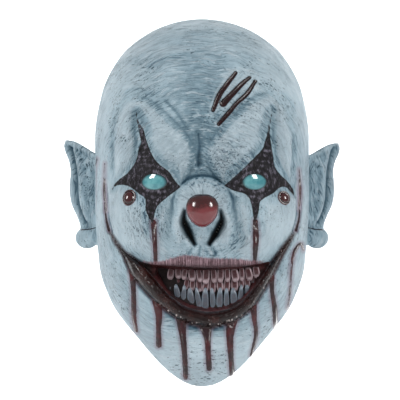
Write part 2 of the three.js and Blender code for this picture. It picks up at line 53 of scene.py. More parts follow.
# the mask as a whole
# sizes in mm; front views are drawn in u (across) and v (up), as seen from the front at eyeDistance
maskShape = dict(
    top=151.5, bottom=-158.0, halfWidth=92.0, front=108.0, back=110.0,
    roundness=2.25, wall=2.8,
    rimFront=(-62.0, -152.5), rimBack=(98.0, -88.0),
    columns=240, rows=222, crownShare=0.34, jawShare=0.8, crowding=0.62,
    eyeDistance=2200.0, eyeX=-1.7, eyeZ=-4.3,
)
headLevels = [  # height share, half width, middle y, front depth, back depth
    (-1.0, 0.0, -82.0, 0.0, 0.0),
    (-0.94, 0.27, -72.0, 0.24, 0.62),
    (-0.78, 0.56, -44.0, 0.57, 1.05),
    (-0.56, 0.85, -20.0, 0.78, 1.06),
    (-0.38, 0.955, -6.0, 0.90, 0.98),
    (0.0, 1.0, 4.0, 0.97, 0.99),
    (0.33, 1.0, 6.0, 0.99, 0.99),
    (0.57, 0.94, 8.0, 0.93, 0.88),
    (0.78, 0.77, 8.0, 0.78, 0.70),
    (0.915, 0.51, 8.0, 0.52, 0.49),
    (1.0, 0.0, 8.0, 0.0, 0.0),
]


# maths
def smoothStep(a, b, v):
    t = np.clip((v - a) / (b - a), 0.0, 1.0)
    return t * t * (3 - 2 * t)


def mix(a, b, t):
    return a + (b - a) * t


def softMax(a, b, k):
    h = np.clip(0.5 + 0.5 * (a - b) / k, 0, 1)
    return mix(b, a, h) + k * h * (1 - h)


def steadyCurve(xs, ys):  # smooth, and never past its points
    xs, ys = np.asarray(xs, float), np.asarray(ys, float)
    slope = np.diff(ys) / np.diff(xs)
    tangent = np.empty_like(ys)
    tangent[0], tangent[-1] = slope[0], slope[-1]
    a, b = slope[:-1], slope[1:]
    tangent[1:-1] = np.where(a * b <= 0, 0, 2 * a * b / np.where(a + b == 0, 1, a + b))

    def curve(x):
        i = np.clip(np.searchsorted(xs, x, side="right") - 1, 0, len(xs) - 2)
        h = xs[i + 1] - xs[i]
        s = np.clip((x - xs[i]) / h, 0, 1)
        ends = ys[i] * (1 + 2 * s) * (1 - s) ** 2 + ys[i + 1] * s * s * (3 - 2 * s)
        return ends + h * s * (1 - s) * (tangent[i] * (1 - s) - tangent[i + 1] * s)

    return curve


def rounded(points, closed=False, steps=6):  # a smooth line through points
    pts = [np.array(p, float) for p in points]
    count = len(pts)
    out = []
    spans = count if closed else count - 1
    for i in range(spans):
        def at(k):
            if closed:
                return pts[k % count]
            if k < 0:
                return 2 * pts[0] - pts[1]
            if k >= count:
                return 2 * pts[-1] - pts[-2]
            return pts[k]
        p0, p1, p2, p3 = at(i - 1), at(i), at(i + 1), at(i + 2)
        for s in range(steps):
            t = s / steps
            out.append(0.5 * (2 * p1 + (p2 - p0) * t + (2 * p0 - 5 * p1 + 4 * p2 - p3) * t * t
                              + (3 * p1 - p0 - 3 * p2 + p3) * t ** 3))
    if not closed:
        out.append(pts[-1])
    return np.array(out)


def lineDistance(u, v, line):  # distance to a line, and the place along it in mm
    best = np.full(u.shape, 1e9)
    along = np.zeros(u.shape)
    run = 0.0
    for (ax, ay), (bx, by) in zip(line[:-1, :2], line[1:, :2]):
        dx, dy = bx - ax, by - ay
        size = dx * dx + dy * dy
        if size < 1e-12:
            continue
        t = np.clip(((u - ax) * dx + (v - ay) * dy) / size, 0, 1)
        d = np.hypot(u - ax - t * dx, v - ay - t * dy)
        nearer = d < best
        best = np.where(nearer, d, best)
        along = np.where(nearer, run + t * math.sqrt(size), along)
        run += math.sqrt(size)
    return best, along, run


def insideOf(u, v, outline):  # signed distance, negative inside
    closed = np.vstack([outline, outline[:1]])
    d, _, _ = lineDistance(u, v, closed)
    inside = np.zeros(u.shape, bool)
    for (ax, ay), (bx, by) in zip(closed[:-1], closed[1:]):
        crosses = (ay > v) != (by > v)
        cut = ax + (v - ay) * (bx - ax) / (by - ay if by != ay else 1e-9)
        inside ^= crosses & (u < cut)
    return np.where(inside, -d, d)


def stroke(u, v, points, widths, steps=6):  # signed distance to a line with a changing width
    line = rounded(points, steps=steps)
    d, along, run = lineDistance(u, v, line)
    half = np.interp(along / run, np.linspace(0, 1, len(widths)), widths) / 2
    return d - half


def nearLine(u, v, points, spread):
    d, along, run = lineDistance(u, v, rounded(points))
    ends = smoothStep(0, 0.18, along / run) * smoothStep(0, 0.18, 1 - along / run)
    return np.exp(-0.5 * (d / spread) ** 2) * ends


def bump(u, v, cu, cv, su, sv):
    return np.exp(-0.5 * (((u - cu) / su) ** 2 + ((v - cv) / sv) ** 2))


# what is sculpted and painted, in the front view
eyes = dict(
    rightPaint=[  # the make-up of the wearer's right eye, each run ends in a point
        [(-55.9, 71.4), (-55.4, 64), (-52.8, 57), (-52.3, 46), (-54.4, 40), (-57, 29), (-64, 19),
         (-71, 13.5), (-75.4, 9), (-78.4, 2)],
        [(-78.4, 2), (-75, 7), (-71, 8.6), (-64.5, 8), (-59.5, 5.4), (-54.5, 1.2), (-49, -3),
         (-48.4, -12.5), (-45.6, -19.6), (-42.3, -24.3)],
        [(-42.3, -24.3), (-40.8, -16.5), (-38.4, -10), (-32.4, -4), (-24, 2.4), (-18.2, 7)],
        [(-18.2, 7), (-22.8, 12), (-28.4, 20), (-36.6, 26.4), (-42.2, 33.4), (-47.6, 46.5), (-50.4, 56.5),
         (-55, 64.5), (-55.9, 71.4)],
    ],
    leftPaint=[
        [(60.3, 73.3), (57.6, 62), (56.4, 53), (54.4, 47), (52, 40), (45.4, 32.6), (33.4, 20.8),
         (25.6, 13.8), (18.8, 8)],
        [(18.8, 8), (27.5, 3.6), (35.7, 1.4), (40.4, -2.4), (43, -10.5), (44.2, -19), (45.8, -23.2)],
        [(45.8, -23.2), (48.8, -14.6), (49.6, -7), (53, -3.2), (61.6, 1.8), (66.4, 6), (71.5, 7), (76, 3),
         (80.8, -3)],
        [(80.8, -3), (77.4, 6.4), (72.6, 12.6), (67.4, 17.6), (62.4, 25), (61, 35), (59, 47), (58, 60),
         (60.3, 73.3)],
    ],
    rightTip=[(-56.6, 74.5), (-56.0, 66), (-53.8, 57), (-51.6, 47)],
    leftTip=[(60.9, 76.5), (59.6, 68), (57.8, 59), (56.6, 49)],
    tipWidths=(0.5, 1.1, 1.6, 2.4),
    rightHole=[(-51.7, 12.3), (-49.9, 16), (-45.6, 18.2), (-40.4, 17.8), (-35.3, 15.4), (-31, 11),
               (-28, 6.2), (-32.7, 4.9), (-39.6, 5.2), (-45.6, 6.6), (-49.9, 9)],
    leftHole=[(30.6, 8.2), (35.3, 12.9), (40.4, 16.3), (45.6, 18.2), (50.7, 17.9), (54.2, 14.8),
              (54.7, 11.2), (52.9, 7.8), (48.2, 5.9), (41.3, 5.8), (35.3, 6.6)],
)
brows = dict(
    right=[[(-17.9, 9), (-10, 20), (-6.6, 33), (-8.6, 44), (-16.4, 56), (-28.6, 68.4), (-39.4, 77.8),
            (-48, 83), (-57.7, 84.4), (-66.4, 81.4), (-72, 75), (-77, 64), (-78, 44), (-77, 24), (-74, 14)],
           [(-74, 14), (-66, 21), (-59.5, 30), (-57.2, 44), (-57.6, 58), (-55.9, 71.4)],
           [(-55.9, 71.4), (-49, 58), (-44.8, 42), (-34.5, 26.5), (-25, 19), (-17.9, 9)]],
    left=[[(17.4, 9), (6.6, 24), (2.8, 38), (9.4, 48.4), (19, 62), (31.4, 74.4), (43.6, 84), (52, 87.4),
           (60.6, 86.8), (69, 80.2), (75, 71), (79, 53), (79.6, 32), (76, 13)],
          [(76, 13), (69, 22), (64, 32), (62, 46), (60.6, 60), (60.3, 73.3)],
          [(60.3, 73.3), (55.4, 57), (50, 42), (40, 29), (30, 20), (17.4, 9)]],
    puff=11.0, rise=8.5,
)
cheeks = dict(
    right=[(-83.5, 14), (-84.4, -4), (-82, -19), (-76.5, -35.5), (-68, -48), (-56, -56), (-43, -58.5),
           (-30, -57), (-23, -49), (-25.5, -34), (-27.5, -20), (-25, -6), (-33, -6), (-38, -12),
           (-42.3, -27), (-47, -20), (-50, -8), (-56, 0), (-64, 6.5), (-74, 7.5)],
    left=[(83.6, 14), (84.4, -4), (82.6, -19), (77.4, -34), (70, -46), (60, -54), (47, -57.5),
          (34, -56.5), (26, -48), (28, -34), (29.5, -20), (27, -6), (35, -2), (40.6, -8), (45.6, -26),
          (50.4, -14), (53.5, -5), (63, -0.4), (69, 5), (77, 3)],
    puff=17.0, rise=7.5,
)
nose = dict(ballU=0.6, ballV=-9.5, ballWide=25.5, ballTall=25.5, rise=19.0,
            rightSlit=[(-14.8, -13.6), (-15.4, -22), (-12, -31), (-6.6, -41.5)],
            leftSlit=[(16, -14.6), (16.8, -22), (13, -31), (6.4, -41.5)],
            slitWidths=(1.6, 5.0, 5.0, 2.4))
lips = dict(
    band=[[(-80, -30.5), (-74.6, -41), (-68.6, -51), (-60.4, -68.4), (-48.4, -83.4), (-38.4, -93),
           (-25.2, -103.4), (-11.9, -110), (6.2, -113.4), (24.3, -109.4), (36.4, -102.8), (46, -93.6),
           (54.4, -80.6), (61.8, -67), (69, -53), (76, -41), (80.8, -30.5)],
          [(80.8, -30.5), (74, -38.6), (66, -49.4), (59.4, -58.6), (52, -69.6), (43.6, -80.7),
           (34, -91.4), (24, -97.4), (6, -100.4), (-12, -96.6), (-24, -89.2), (-31.2, -83),
           (-39.6, -73.4), (-48, -63.8), (-55, -57), (-66, -49), (-73.4, -40), (-80, -30.5)]],
    upper=[[(-50, -57.4), (-40.8, -58), (-32, -56.6), (-24, -54.2), (-16, -52.4), (-7, -52.6),
            (3.4, -54.4), (14.6, -55), (26, -55), (37, -56), (46, -57.2), (54, -57)],
           [(54, -57), (46, -60.4), (37, -61.4), (26, -62.4), (10, -63.2), (-6, -62.8), (-20, -61.6),
            (-33, -61.2), (-42, -60.6), (-50, -57.4)]],
    inside=[[(-56, -56.6), (-42, -59.8), (-20, -61.2), (4, -62.6), (28, -61.8), (44, -60), (60, -56.6)],
            [(60, -56.6), (52, -69.6), (43.6, -80.7), (34, -91.4), (24, -97.4), (6, -100.4), (-12, -96.6),
             (-24, -89.2), (-31.2, -83), (-39.6, -73.4), (-48, -63.8), (-56, -56.6)]],
    opening=[(-39, -62.5), (-20, -62.2), (4, -63.2), (26, -62.6), (46, -61.6), (48, -68), (43.5, -78),
             (36, -88), (26, -94.8), (10, -99.2), (-6, -97.6), (-18, -93), (-28, -85.4), (-35, -76)],
)
drips = [  # points from top to bottom, widths
    ([(-41.6, -23.5), (-41, -34), (-40.2, -46), (-39.8, -58)], (4.6, 4.4, 3.6, 3.2)),
    ([(45.8, -22.5), (46.4, -36), (45.8, -48), (45.4, -57.6)], (4.2, 5.2, 4.6, 2.6)),
    ([(-60, -66), (-58.8, -84), (-58.4, -104), (-56.4, -117)], (5.4, 4.2, 4.4, 3.0)),
    ([(-38.6, -92), (-37, -104), (-37.4, -116), (-37, -129)], (8.0, 5.6, 4.2, 5.0)),
    ([(-18, -105), (-16.8, -118), (-15, -136), (-14, -157)], (9.0, 5.4, 4.4, 4.0)),
    ([(3, -112), (4.6, -122), (5.4, -136), (6.2, -149)], (11.0, 5.2, 4.4, 4.6)),
    ([(26, -108), (24, -120), (24.8, -138), (26, -155)], (9.0, 6.0, 4.4, 4.4)),
    ([(44, -94), (45, -106), (46.4, -120), (42.4, -138)], (6.4, 3.8, 3.2, 2.6)),
    ([(60, -70), (60.4, -84), (62.6, -98), (63.2, -113)], (4.6, 3.6, 4.4, 3.6)),
    ([(87.4, -47), (84.6, -42), (79, -50), (76.6, -66), (75.6, -84), (73.6, -98)],
     (1.8, 3.0, 2.2, 1.8, 1.8, 1.2)),
    ([(-83.6, 27), (-84, 4), (-82.6, -14)], (1.0, 2.0, 1.6)),
    ([(83.4, 22), (84.4, 4), (83.4, -12)], (1.0, 2.2, 1.6)),
    ([(-90.4, 31), (-93.4, 17), (-93.4, -12)], (1.2, 2.6, 1.6)),
]
claws = [
    ([(29, 105), (22, 96), (15, 86), (9.6, 73)], (3.4, 4.4, 4.6, 3.4)),
    ([(41, 101), (36, 97), (29, 90), (18.2, 78.6)], (3.0, 4.4, 5.0, 6.0)),
    ([(46, 98), (38.6, 87), (30, 79), (22.4, 70), (14.4, 61)], (3.2, 4.2, 3.6, 4.2, 3.4)),
]
cornerLines = [
    ([(-80, -30.5), (-82.4, -20), (-83.4, -6), (-83.6, 10)], (2.4, 1.4, 1.0, 0.6)),
    ([(80.8, -30.5), (83.4, -20), (84, -6), (84, 8)], (2.4, 1.4, 1.0, 0.6)),
]
folds = [  # points, depth, spread
    ([(-35.3, 84), (-28.4, 78), (-21.4, 70.4), (-16, 62), (-11, 53)], 1.4, 1.5),
    ([(-68, 87), (-58, 91), (-48, 88.5)], 0.7, 1.3),
    ([(-4, 58), (-2.6, 46), (-3.6, 32), (-2.4, 20)], 2.6, 1.7),
    ([(2, 52), (-0.6, 38), (0.6, 22)], 1.6, 1.4),
    ([(-12, 60), (-7, 70), (-4, 82)], 0.7, 1.6),
    ([(66, 90), (76, 80), (81, 66)], 0.7, 1.4),
    ([(-3, -41), (-9, -47), (-13, -53)], 1.3, 1.2),
    ([(-1, -42), (-2, -48), (-3, -54)], 1.3, 1.2),
    ([(4, -41), (10, -47), (13, -54)], 1.4, 1.2),
    ([(1.5, -42), (4, -48), (5, -54)], 1.0, 1.2),
    ([(19, -46), (12, -50), (8, -58)], 1.2, 1.3),
    ([(-50, 108), (-30, 118), (-8, 121)], 0.8, 1.6),
    ([(-62, 50), (-66, 38), (-66, 26)], 0.7, 2.0),
    ([(66, 60), (70, 44), (69, 30)], 0.7, 2.0),
]


def smoothOutline(runs):
    if isinstance(runs[0], tuple):
        return rounded(runs, closed=True)
    return np.vstack([rounded(run)[:-1] for run in runs])


def inflate(s, width, height, soft=0.0):  # a pillow; soft 1 eases in with no edge at all
    t = np.clip(-s / width, 0, 1)
    return height * mix(np.sqrt(np.clip(1 - (1 - t) ** 2, 0, 1)), t * t * (3 - 2 * t), soft)


def faceMarks(u, v):  # signed distances of everything drawn on the face, negative inside
    marks = {}
    for side in ("right", "left"):
        tip = stroke(u, v, eyes[side + "Tip"], eyes["tipWidths"])
        marks[side + "Paint"] = np.minimum(insideOf(u, v, smoothOutline(eyes[side + "Paint"])), tip)
        marks[side + "Eye"] = insideOf(u, v, smoothOutline(eyes[side + "Hole"]))
        marks[side + "Brow"] = insideOf(u, v, smoothOutline(brows[side]))
        marks[side + "Cheek"] = insideOf(u, v, smoothOutline(cheeks[side]))
        marks[side + "Slit"] = stroke(u, v, nose[side + "Slit"], nose["slitWidths"], 10)
    for name in ("band", "upper", "inside", "opening"):
        marks[name] = insideOf(u, v, smoothOutline(lips[name]))
    marks["drips"] = np.minimum.reduce([stroke(u, v, p, w) for p, w in drips])
    marks["claws"] = np.minimum.reduce([stroke(u, v, p, w) for p, w in claws])
    marks["corners"] = np.minimum.reduce([stroke(u, v, p, w) for p, w in cornerLines])
    return marks


def paintWrinkles(u, v, paint, eye):  # folds of the black paint round the eyes, -1 to 1
    drift = 1.8 * np.sin(u * 0.21 + v * 0.13) + 2.2 * np.sin(u * 0.11 + 1.0) * np.cos(v * 0.17)
    wave = 0.9 * np.cos(eye * 2 * math.pi / 4.2 + drift) + 0.2 * np.cos(u * 0.9 + 3.0 * np.sin(v * 0.12))
    return wave * smoothStep(-0.8, -2.6, paint) * smoothStep(7.0, 9.0, eye)


def bothSides(marks, *kinds):  # the nearer of the right and the left mark of each kind
    return [np.minimum(marks["right" + kind], marks["left" + kind]) for kind in kinds]


def faceRelief(u, v, marks):  # height over the head form, in mm
    paint, eye, brow, cheek, slit = bothSides(marks, "Paint", "Eye", "Brow", "Cheek", "Slit")
    h = 5.0 * bump(u, v, 0, -26, 36, 24) + 7.0 * bump(u, v, 2, -134, 24, 14)
    h -= 6.0 * (bump(u, v, -40, 12, 21, 13) + bump(u, v, 42, 12, 21, 13))
    h -= 2.5 * bump(u, v, -2, 28, 6, 14)
    low = smoothStep(66, 40, v)  # the pads end sharply over the eyes and melt into the forehead
    h += inflate(brow, brows["puff"], brows["rise"], mix(0.85, 0.35, low))
    h -= mix(0.7, 0.9, low) * np.exp(-(brow / 1.5) ** 2)
    h += inflate(cheek, cheeks["puff"], cheeks["rise"], 0.45) * smoothStep(12, 50, np.abs(u))
    h -= 3.0 * smoothStep(1.0, -4.0, paint) + 0.7 * np.exp(-((paint + 0.2) / 0.8) ** 2)
    h += 0.6 * paintWrinkles(u, v, paint, eye)
    # the lids round each eye
    lid = smoothStep(11, 3, eye)
    over = smoothStep(8, 14, v)
    rings = mix(2.4, 3.8, over) * np.exp(-((eye - 2.2) / 1.7) ** 2) - 1.6 * np.exp(-((eye - 5.0) / 0.8) ** 2)
    h += lid * (rings + 1.5 * np.exp(-((eye - 7.0) / 1.2) ** 2))
    h -= 5.0 * smoothStep(0.4, -1.8, eye)
    # the ball of the nose, the septum under it and the slits beside it
    d = np.hypot((u - nose["ballU"]) / nose["ballWide"], (v - nose["ballV"]) / nose["ballTall"])
    dome = np.clip(1 - d * d, 0, 1)
    ball = nose["rise"] * mix(np.sqrt(dome), dome ** 1.4, mix(0.35, 0.75, smoothStep(-4, -24, v)))
    septum = 13.0 * smoothStep(-44, -22, v) * np.exp(-(u / (3.0 + 0.18 * np.clip(v + 44, 0, 30))) ** 2)
    wings = 6.0 * (bump(u, v, -20, -24, 4.6, 10) + bump(u, v, 21.5, -25, 4.6, 10))
    h = softMax(h, ball, 4.0) + np.where(v < -12, 0.55 * septum, 0) * smoothStep(-12, -22, v) + wings
    h -= 0.9 * np.exp(-((d - 1.0) * 24 / 1.3) ** 2) * smoothStep(-6, 4, v)
    h -= 0.6 * np.exp(-((d - 0.82) * 24 / 0.8) ** 2) * smoothStep(0, 8, v)
    h -= 6.0 * smoothStep(2.6, -2.4, slit)
    # mouth: puffed black band, pleated upper lip, the hollow between them
    h += inflate(marks["band"], 7.5, 8.0) - 1.0 * np.exp(-(marks["band"] / 1.1) ** 2)
    h -= 5.0 * smoothStep(0.8, -3.0, marks["inside"])
    h += inflate(marks["upper"], 3.4, 2.4)
    h -= 10.0 * smoothStep(0.6, -2.6, marks["opening"])
    pleat = np.cos(u * 2 * math.pi / 3.1 + 0.7 * np.sin(u * 0.31))
    h -= 0.4 * pleat * smoothStep(1.5, -1.5, marks["upper"])
    bead = 1 + 0.35 * np.sin(v * 0.55 + u * 0.2) * np.sin(v * 0.19 + 1.0)
    h += inflate(marks["drips"], 2.2, 1.2) * bead
    h -= 1.3 * smoothStep(0.6, -1.4, marks["claws"]) - 0.5 * np.exp(-((marks["claws"] - 1.2) / 0.9) ** 2)
    h -= 1.8 * np.exp(-(np.maximum(marks["corners"], -0.5) / 1.2) ** 2)
    for points, depth, spread in folds:
        h -= depth * nearLine(u, v, points, spread)
    return h


# the head form
shares = np.array([level[0] for level in headLevels])
widthCurve = steadyCurve(shares, [(level[1] * maskShape["halfWidth"]) ** 2 for level in headLevels])
middleCurve = steadyCurve(shares, [level[2] for level in headLevels])
frontCurve = steadyCurve(shares, [(level[3] * maskShape["front"]) ** 2 for level in headLevels])
backCurve = steadyCurve(shares, [(level[4] * maskShape["back"]) ** 2 for level in headLevels])


def outsideForm(p):
    z = p[..., 2]
    share = np.where(z > 0, z / maskShape["top"], z / -maskShape["bottom"])
    y = p[..., 1] - middleCurve(share)
    depth = np.sqrt(np.maximum(np.where(y < 0, frontCurve(share), backCurve(share)), 1e-6))
    width = np.sqrt(np.maximum(widthCurve(share), 1e-6))
    k = maskShape["roundness"]
    over = (np.abs(p[..., 0]) / width) ** k + (np.abs(y) / depth) ** k > 1
    return over | (np.abs(share) >= 1)


def formPoints(directions):
    near = np.full(directions.shape[:-1], 10.0)
    far = np.full(directions.shape[:-1], 400.0)
    for _ in range(26):
        middle = (near + far) / 2
        out = outsideForm(directions * middle[..., None])
        far = np.where(out, middle, far)
        near = np.where(out, near, middle)
    return directions * near[..., None]


def directionsAt(polar, azimuth):
    return np.stack([np.sin(polar) * np.sin(azimuth), -np.sin(polar) * np.cos(azimuth), np.cos(polar)], -1)


def unit(a):
    return a / np.maximum(np.linalg.norm(a, axis=-1, keepdims=True), 1e-12)


def gridNormals(p):  # rows run down from the crown, columns go round
    down = np.gradient(p, axis=0)
    across = (np.roll(p, -1, axis=1) - np.roll(p, 1, axis=1)) / 2
    return unit(np.cross(down, across))


def frontView(p):  # where a point shows in the front view
    s = maskShape["eyeDistance"] / (maskShape["eyeDistance"] + p[..., 1])
    u = maskShape["eyeX"] + (p[..., 0] - maskShape["eyeX"]) * s
    v = maskShape["eyeZ"] + (p[..., 2] - maskShape["eyeZ"]) * s
    return u, v


rimStart = np.array([0.0, *maskShape["rimFront"]])
rimRun = np.array([0.0, *maskShape["rimBack"]]) - rimStart
rimRun /= np.linalg.norm(rimRun)
rimOut = np.array([0.0, rimRun[2], -rimRun[1]])


def relieved(directions):  # the sculpted surface along rows and columns of directions
    form = formPoints(directions)
    normal = gridNormals(form)
    forward = np.array([0.0, -1.0, 0.0])
    heading = unit(mix(normal, forward, 0.85 * smoothStep(0.35, 0.8, -normal[..., 1])[..., None]))
    faceShare = smoothStep(0.02, 0.4, -normal[..., 1])
    height = np.zeros(form.shape[:-1])
    point = form
    for _ in range(2):
        u, v = frontView(point)
        marks = faceMarks(u, v)
        height = faceRelief(u, v, marks) * faceShare
        point = form + heading * height[..., None]
    return form, normal, heading, height, point


def rimPolars(azimuth):
    low, high = np.full(azimuth.shape, math.radians(70)), np.full(azimuth.shape, math.radians(172))
    for _ in range(24):
        middle = (low + high) / 2
        p = formPoints(directionsAt(middle, azimuth))
        inside = (p - rimStart) @ rimOut < 0
        low, high = np.where(inside, middle, low), np.where(inside, high, middle)
    return (low + high) / 2


def spread2d(a, rows, columns, how):  # a running least or mean over a patch of the grid
    out = how([np.roll(a, k, axis=1) for k in range(-columns, columns + 1)], axis=0)
    padded = np.pad(out, ((rows, rows), (0, 0)), mode="edge")
    stack = [padded[k:k + a.shape[0]] for k in range(2 * rows + 1)]
    return how(stack, axis=0)


columns = maskShape["columns"]
turn = np.arange(columns) / columns * 2 * math.pi
azimuths = turn - maskShape["crowding"] * np.sin(turn)
steps = np.linspace(0, 1, 400)
crowd = mix(maskShape["crownShare"], 1.0, smoothStep(0.02, 0.27, steps))
crowd *= mix(1.0, maskShape["jawShare"], smoothStep(0.84, 0.92, steps))
run = np.concatenate([[0], np.cumsum((crowd[1:] + crowd[:-1]) / 2)])
rowShares = np.interp(np.linspace(0, 1, maskShape["rows"] + 1)[1:], run / run[-1], steps)
edgePolars = rimPolars(azimuths)
polars = rowShares[:, None] * edgePolars[None, :]
directions = directionsAt(polars, np.broadcast_to(azimuths, polars.shape))
form, formNormal, heading, height, outer = relieved(directions)
print("head form", outer.shape)

# the neck edge stays flat
outer[-1] -= ((outer[-1] - rimStart) @ rimOut)[:, None] * rimOut

lowest = spread2d(height, 3, 3, np.min)
lowest = spread2d(lowest, 2, 2, np.mean)
inner = form + heading * np.minimum(lowest, height)[..., None] - formNormal * maskShape["wall"]
inner[-1] -= ((inner[-1] - rimStart) @ rimOut)[:, None] * rimOut

u, v = frontView(outer)
marks = faceMarks(u, v)
onFace = outer[..., 1] < -20


# turning grids and lists into pieces
def makeObject(name, points, faces):
    mesh = bpy.data.meshes.new(name)
    mesh.from_pydata([tuple(p * mm) for p in np.asarray(points)], [], faces)
    mesh.validate()
    mesh.shade_smooth()
    obj = bpy.data.objects.new(name, mesh)
    bpy.context.collection.objects.link(obj)
    return obj


def setAttribute(obj, name, values):
    attribute = obj.data.attributes.new(name, "FLOAT", "POINT")
    attribute.data.foreach_set("value", np.asarray(values, np.float32).ravel())


def hollows(points, faces, rounds):  # how far each vertex lies under its neighbours, in mm
    pairs = np.array([(f[k], f[(k + 1) % len(f)]) for f in faces for k in range(len(f))])
    pairs = np.vstack([pairs, pairs[:, ::-1]])
    count = np.bincount(pairs[:, 0], minlength=len(points)).astype(float)
    count[count == 0] = 1
    mean = points.copy()
    for _ in range(rounds):
        total = np.zeros_like(points)
        np.add.at(total, pairs[:, 0], mean[pairs[:, 1]])
        mean = total / count[:, None]
    return mean - points


# the skin, in three pieces: head and two back flaps
backSlit = dict(
    top=39.0, halfGap=0.7, stopHole=1.5,
    foldTop=(0.0, 115.9, 42.0), foldAxis=(0.3988, -0.109, -0.9105), foldLean=24.0, softness=14.0,
)
rows = len(rowShares)
centreColumn = columns // 2
lean = math.radians(backSlit["foldLean"])
foldIn = np.cross(backSlit["foldAxis"], (math.sin(lean), math.cos(lean), 0.0))
foldIn *= -np.sign(foldIn[0]) / np.linalg.norm(foldIn)  # from the fold towards the slit, wearer's left


def pastFold(p, side):
    q = p * np.array([side, 1.0, 1.0]) - np.array(backSlit["foldTop"])
    return q @ foldIn


outerNormal = gridNormals(outer)
innerNormal = -gridNormals(inner)
poleOuter = formPoints(np.array([[0.0, 0.0, 1.0]]))[0]
poleInner = poleOuter - np.array([0, 0, maskShape["wall"]])
cell = 0.25 * (outer[:-1] + outer[1:] + np.roll(outer, -1, 1)[:-1] + np.roll(outer, -1, 1)[1:])
cellSide = np.where(np.arange(columns) < centreColumn, 1, 2)[None, :] * np.ones((rows - 1, 1), int)
owner = np.zeros((rows - 1, columns), int)  # 0 head, 1 left flap, 2 right flap
for flap, side in ((1, 1.0), (2, -1.0)):
    mine = (cellSide == flap) & (cell[..., 1] > 30) & (pastFold(cell, side) > 0)
    owner[mine] = flap
worst = np.minimum.reduce([marks["rightEye"] + 1.3, marks["leftEye"] + 1.3, marks["opening"] + 2.9,
                           marks["rightSlit"] + 1.5, marks["leftSlit"] + 1.5])
worst = np.where(onFace, worst, 9)
corner = np.stack([worst[:-1], worst[1:], np.roll(worst, -1, 1)[:-1], np.roll(worst, -1, 1)[1:]])
cut = corner.max(axis=0) < 0
owner[cut] = -1


def slitShift(z):  # how far each lip of the slit stands from the middle
    taper = smoothStep(backSlit["top"] + 1, backSlit["top"] - 6, z)
    hole = backSlit["stopHole"] * np.exp(-((z - backSlit["top"] + 5) / 1.8) ** 2)
    return backSlit["halfGap"] * taper + hole


besides = (  # the cells beside one, and the ends of the edge they share with it
    (-1, 0, (0, 1), (0, 0)), (1, 0, (1, 0), (1, 1)), (0, -1, (0, 0), (1, 0)), (0, 1, (1, 1), (0, 1)),
)


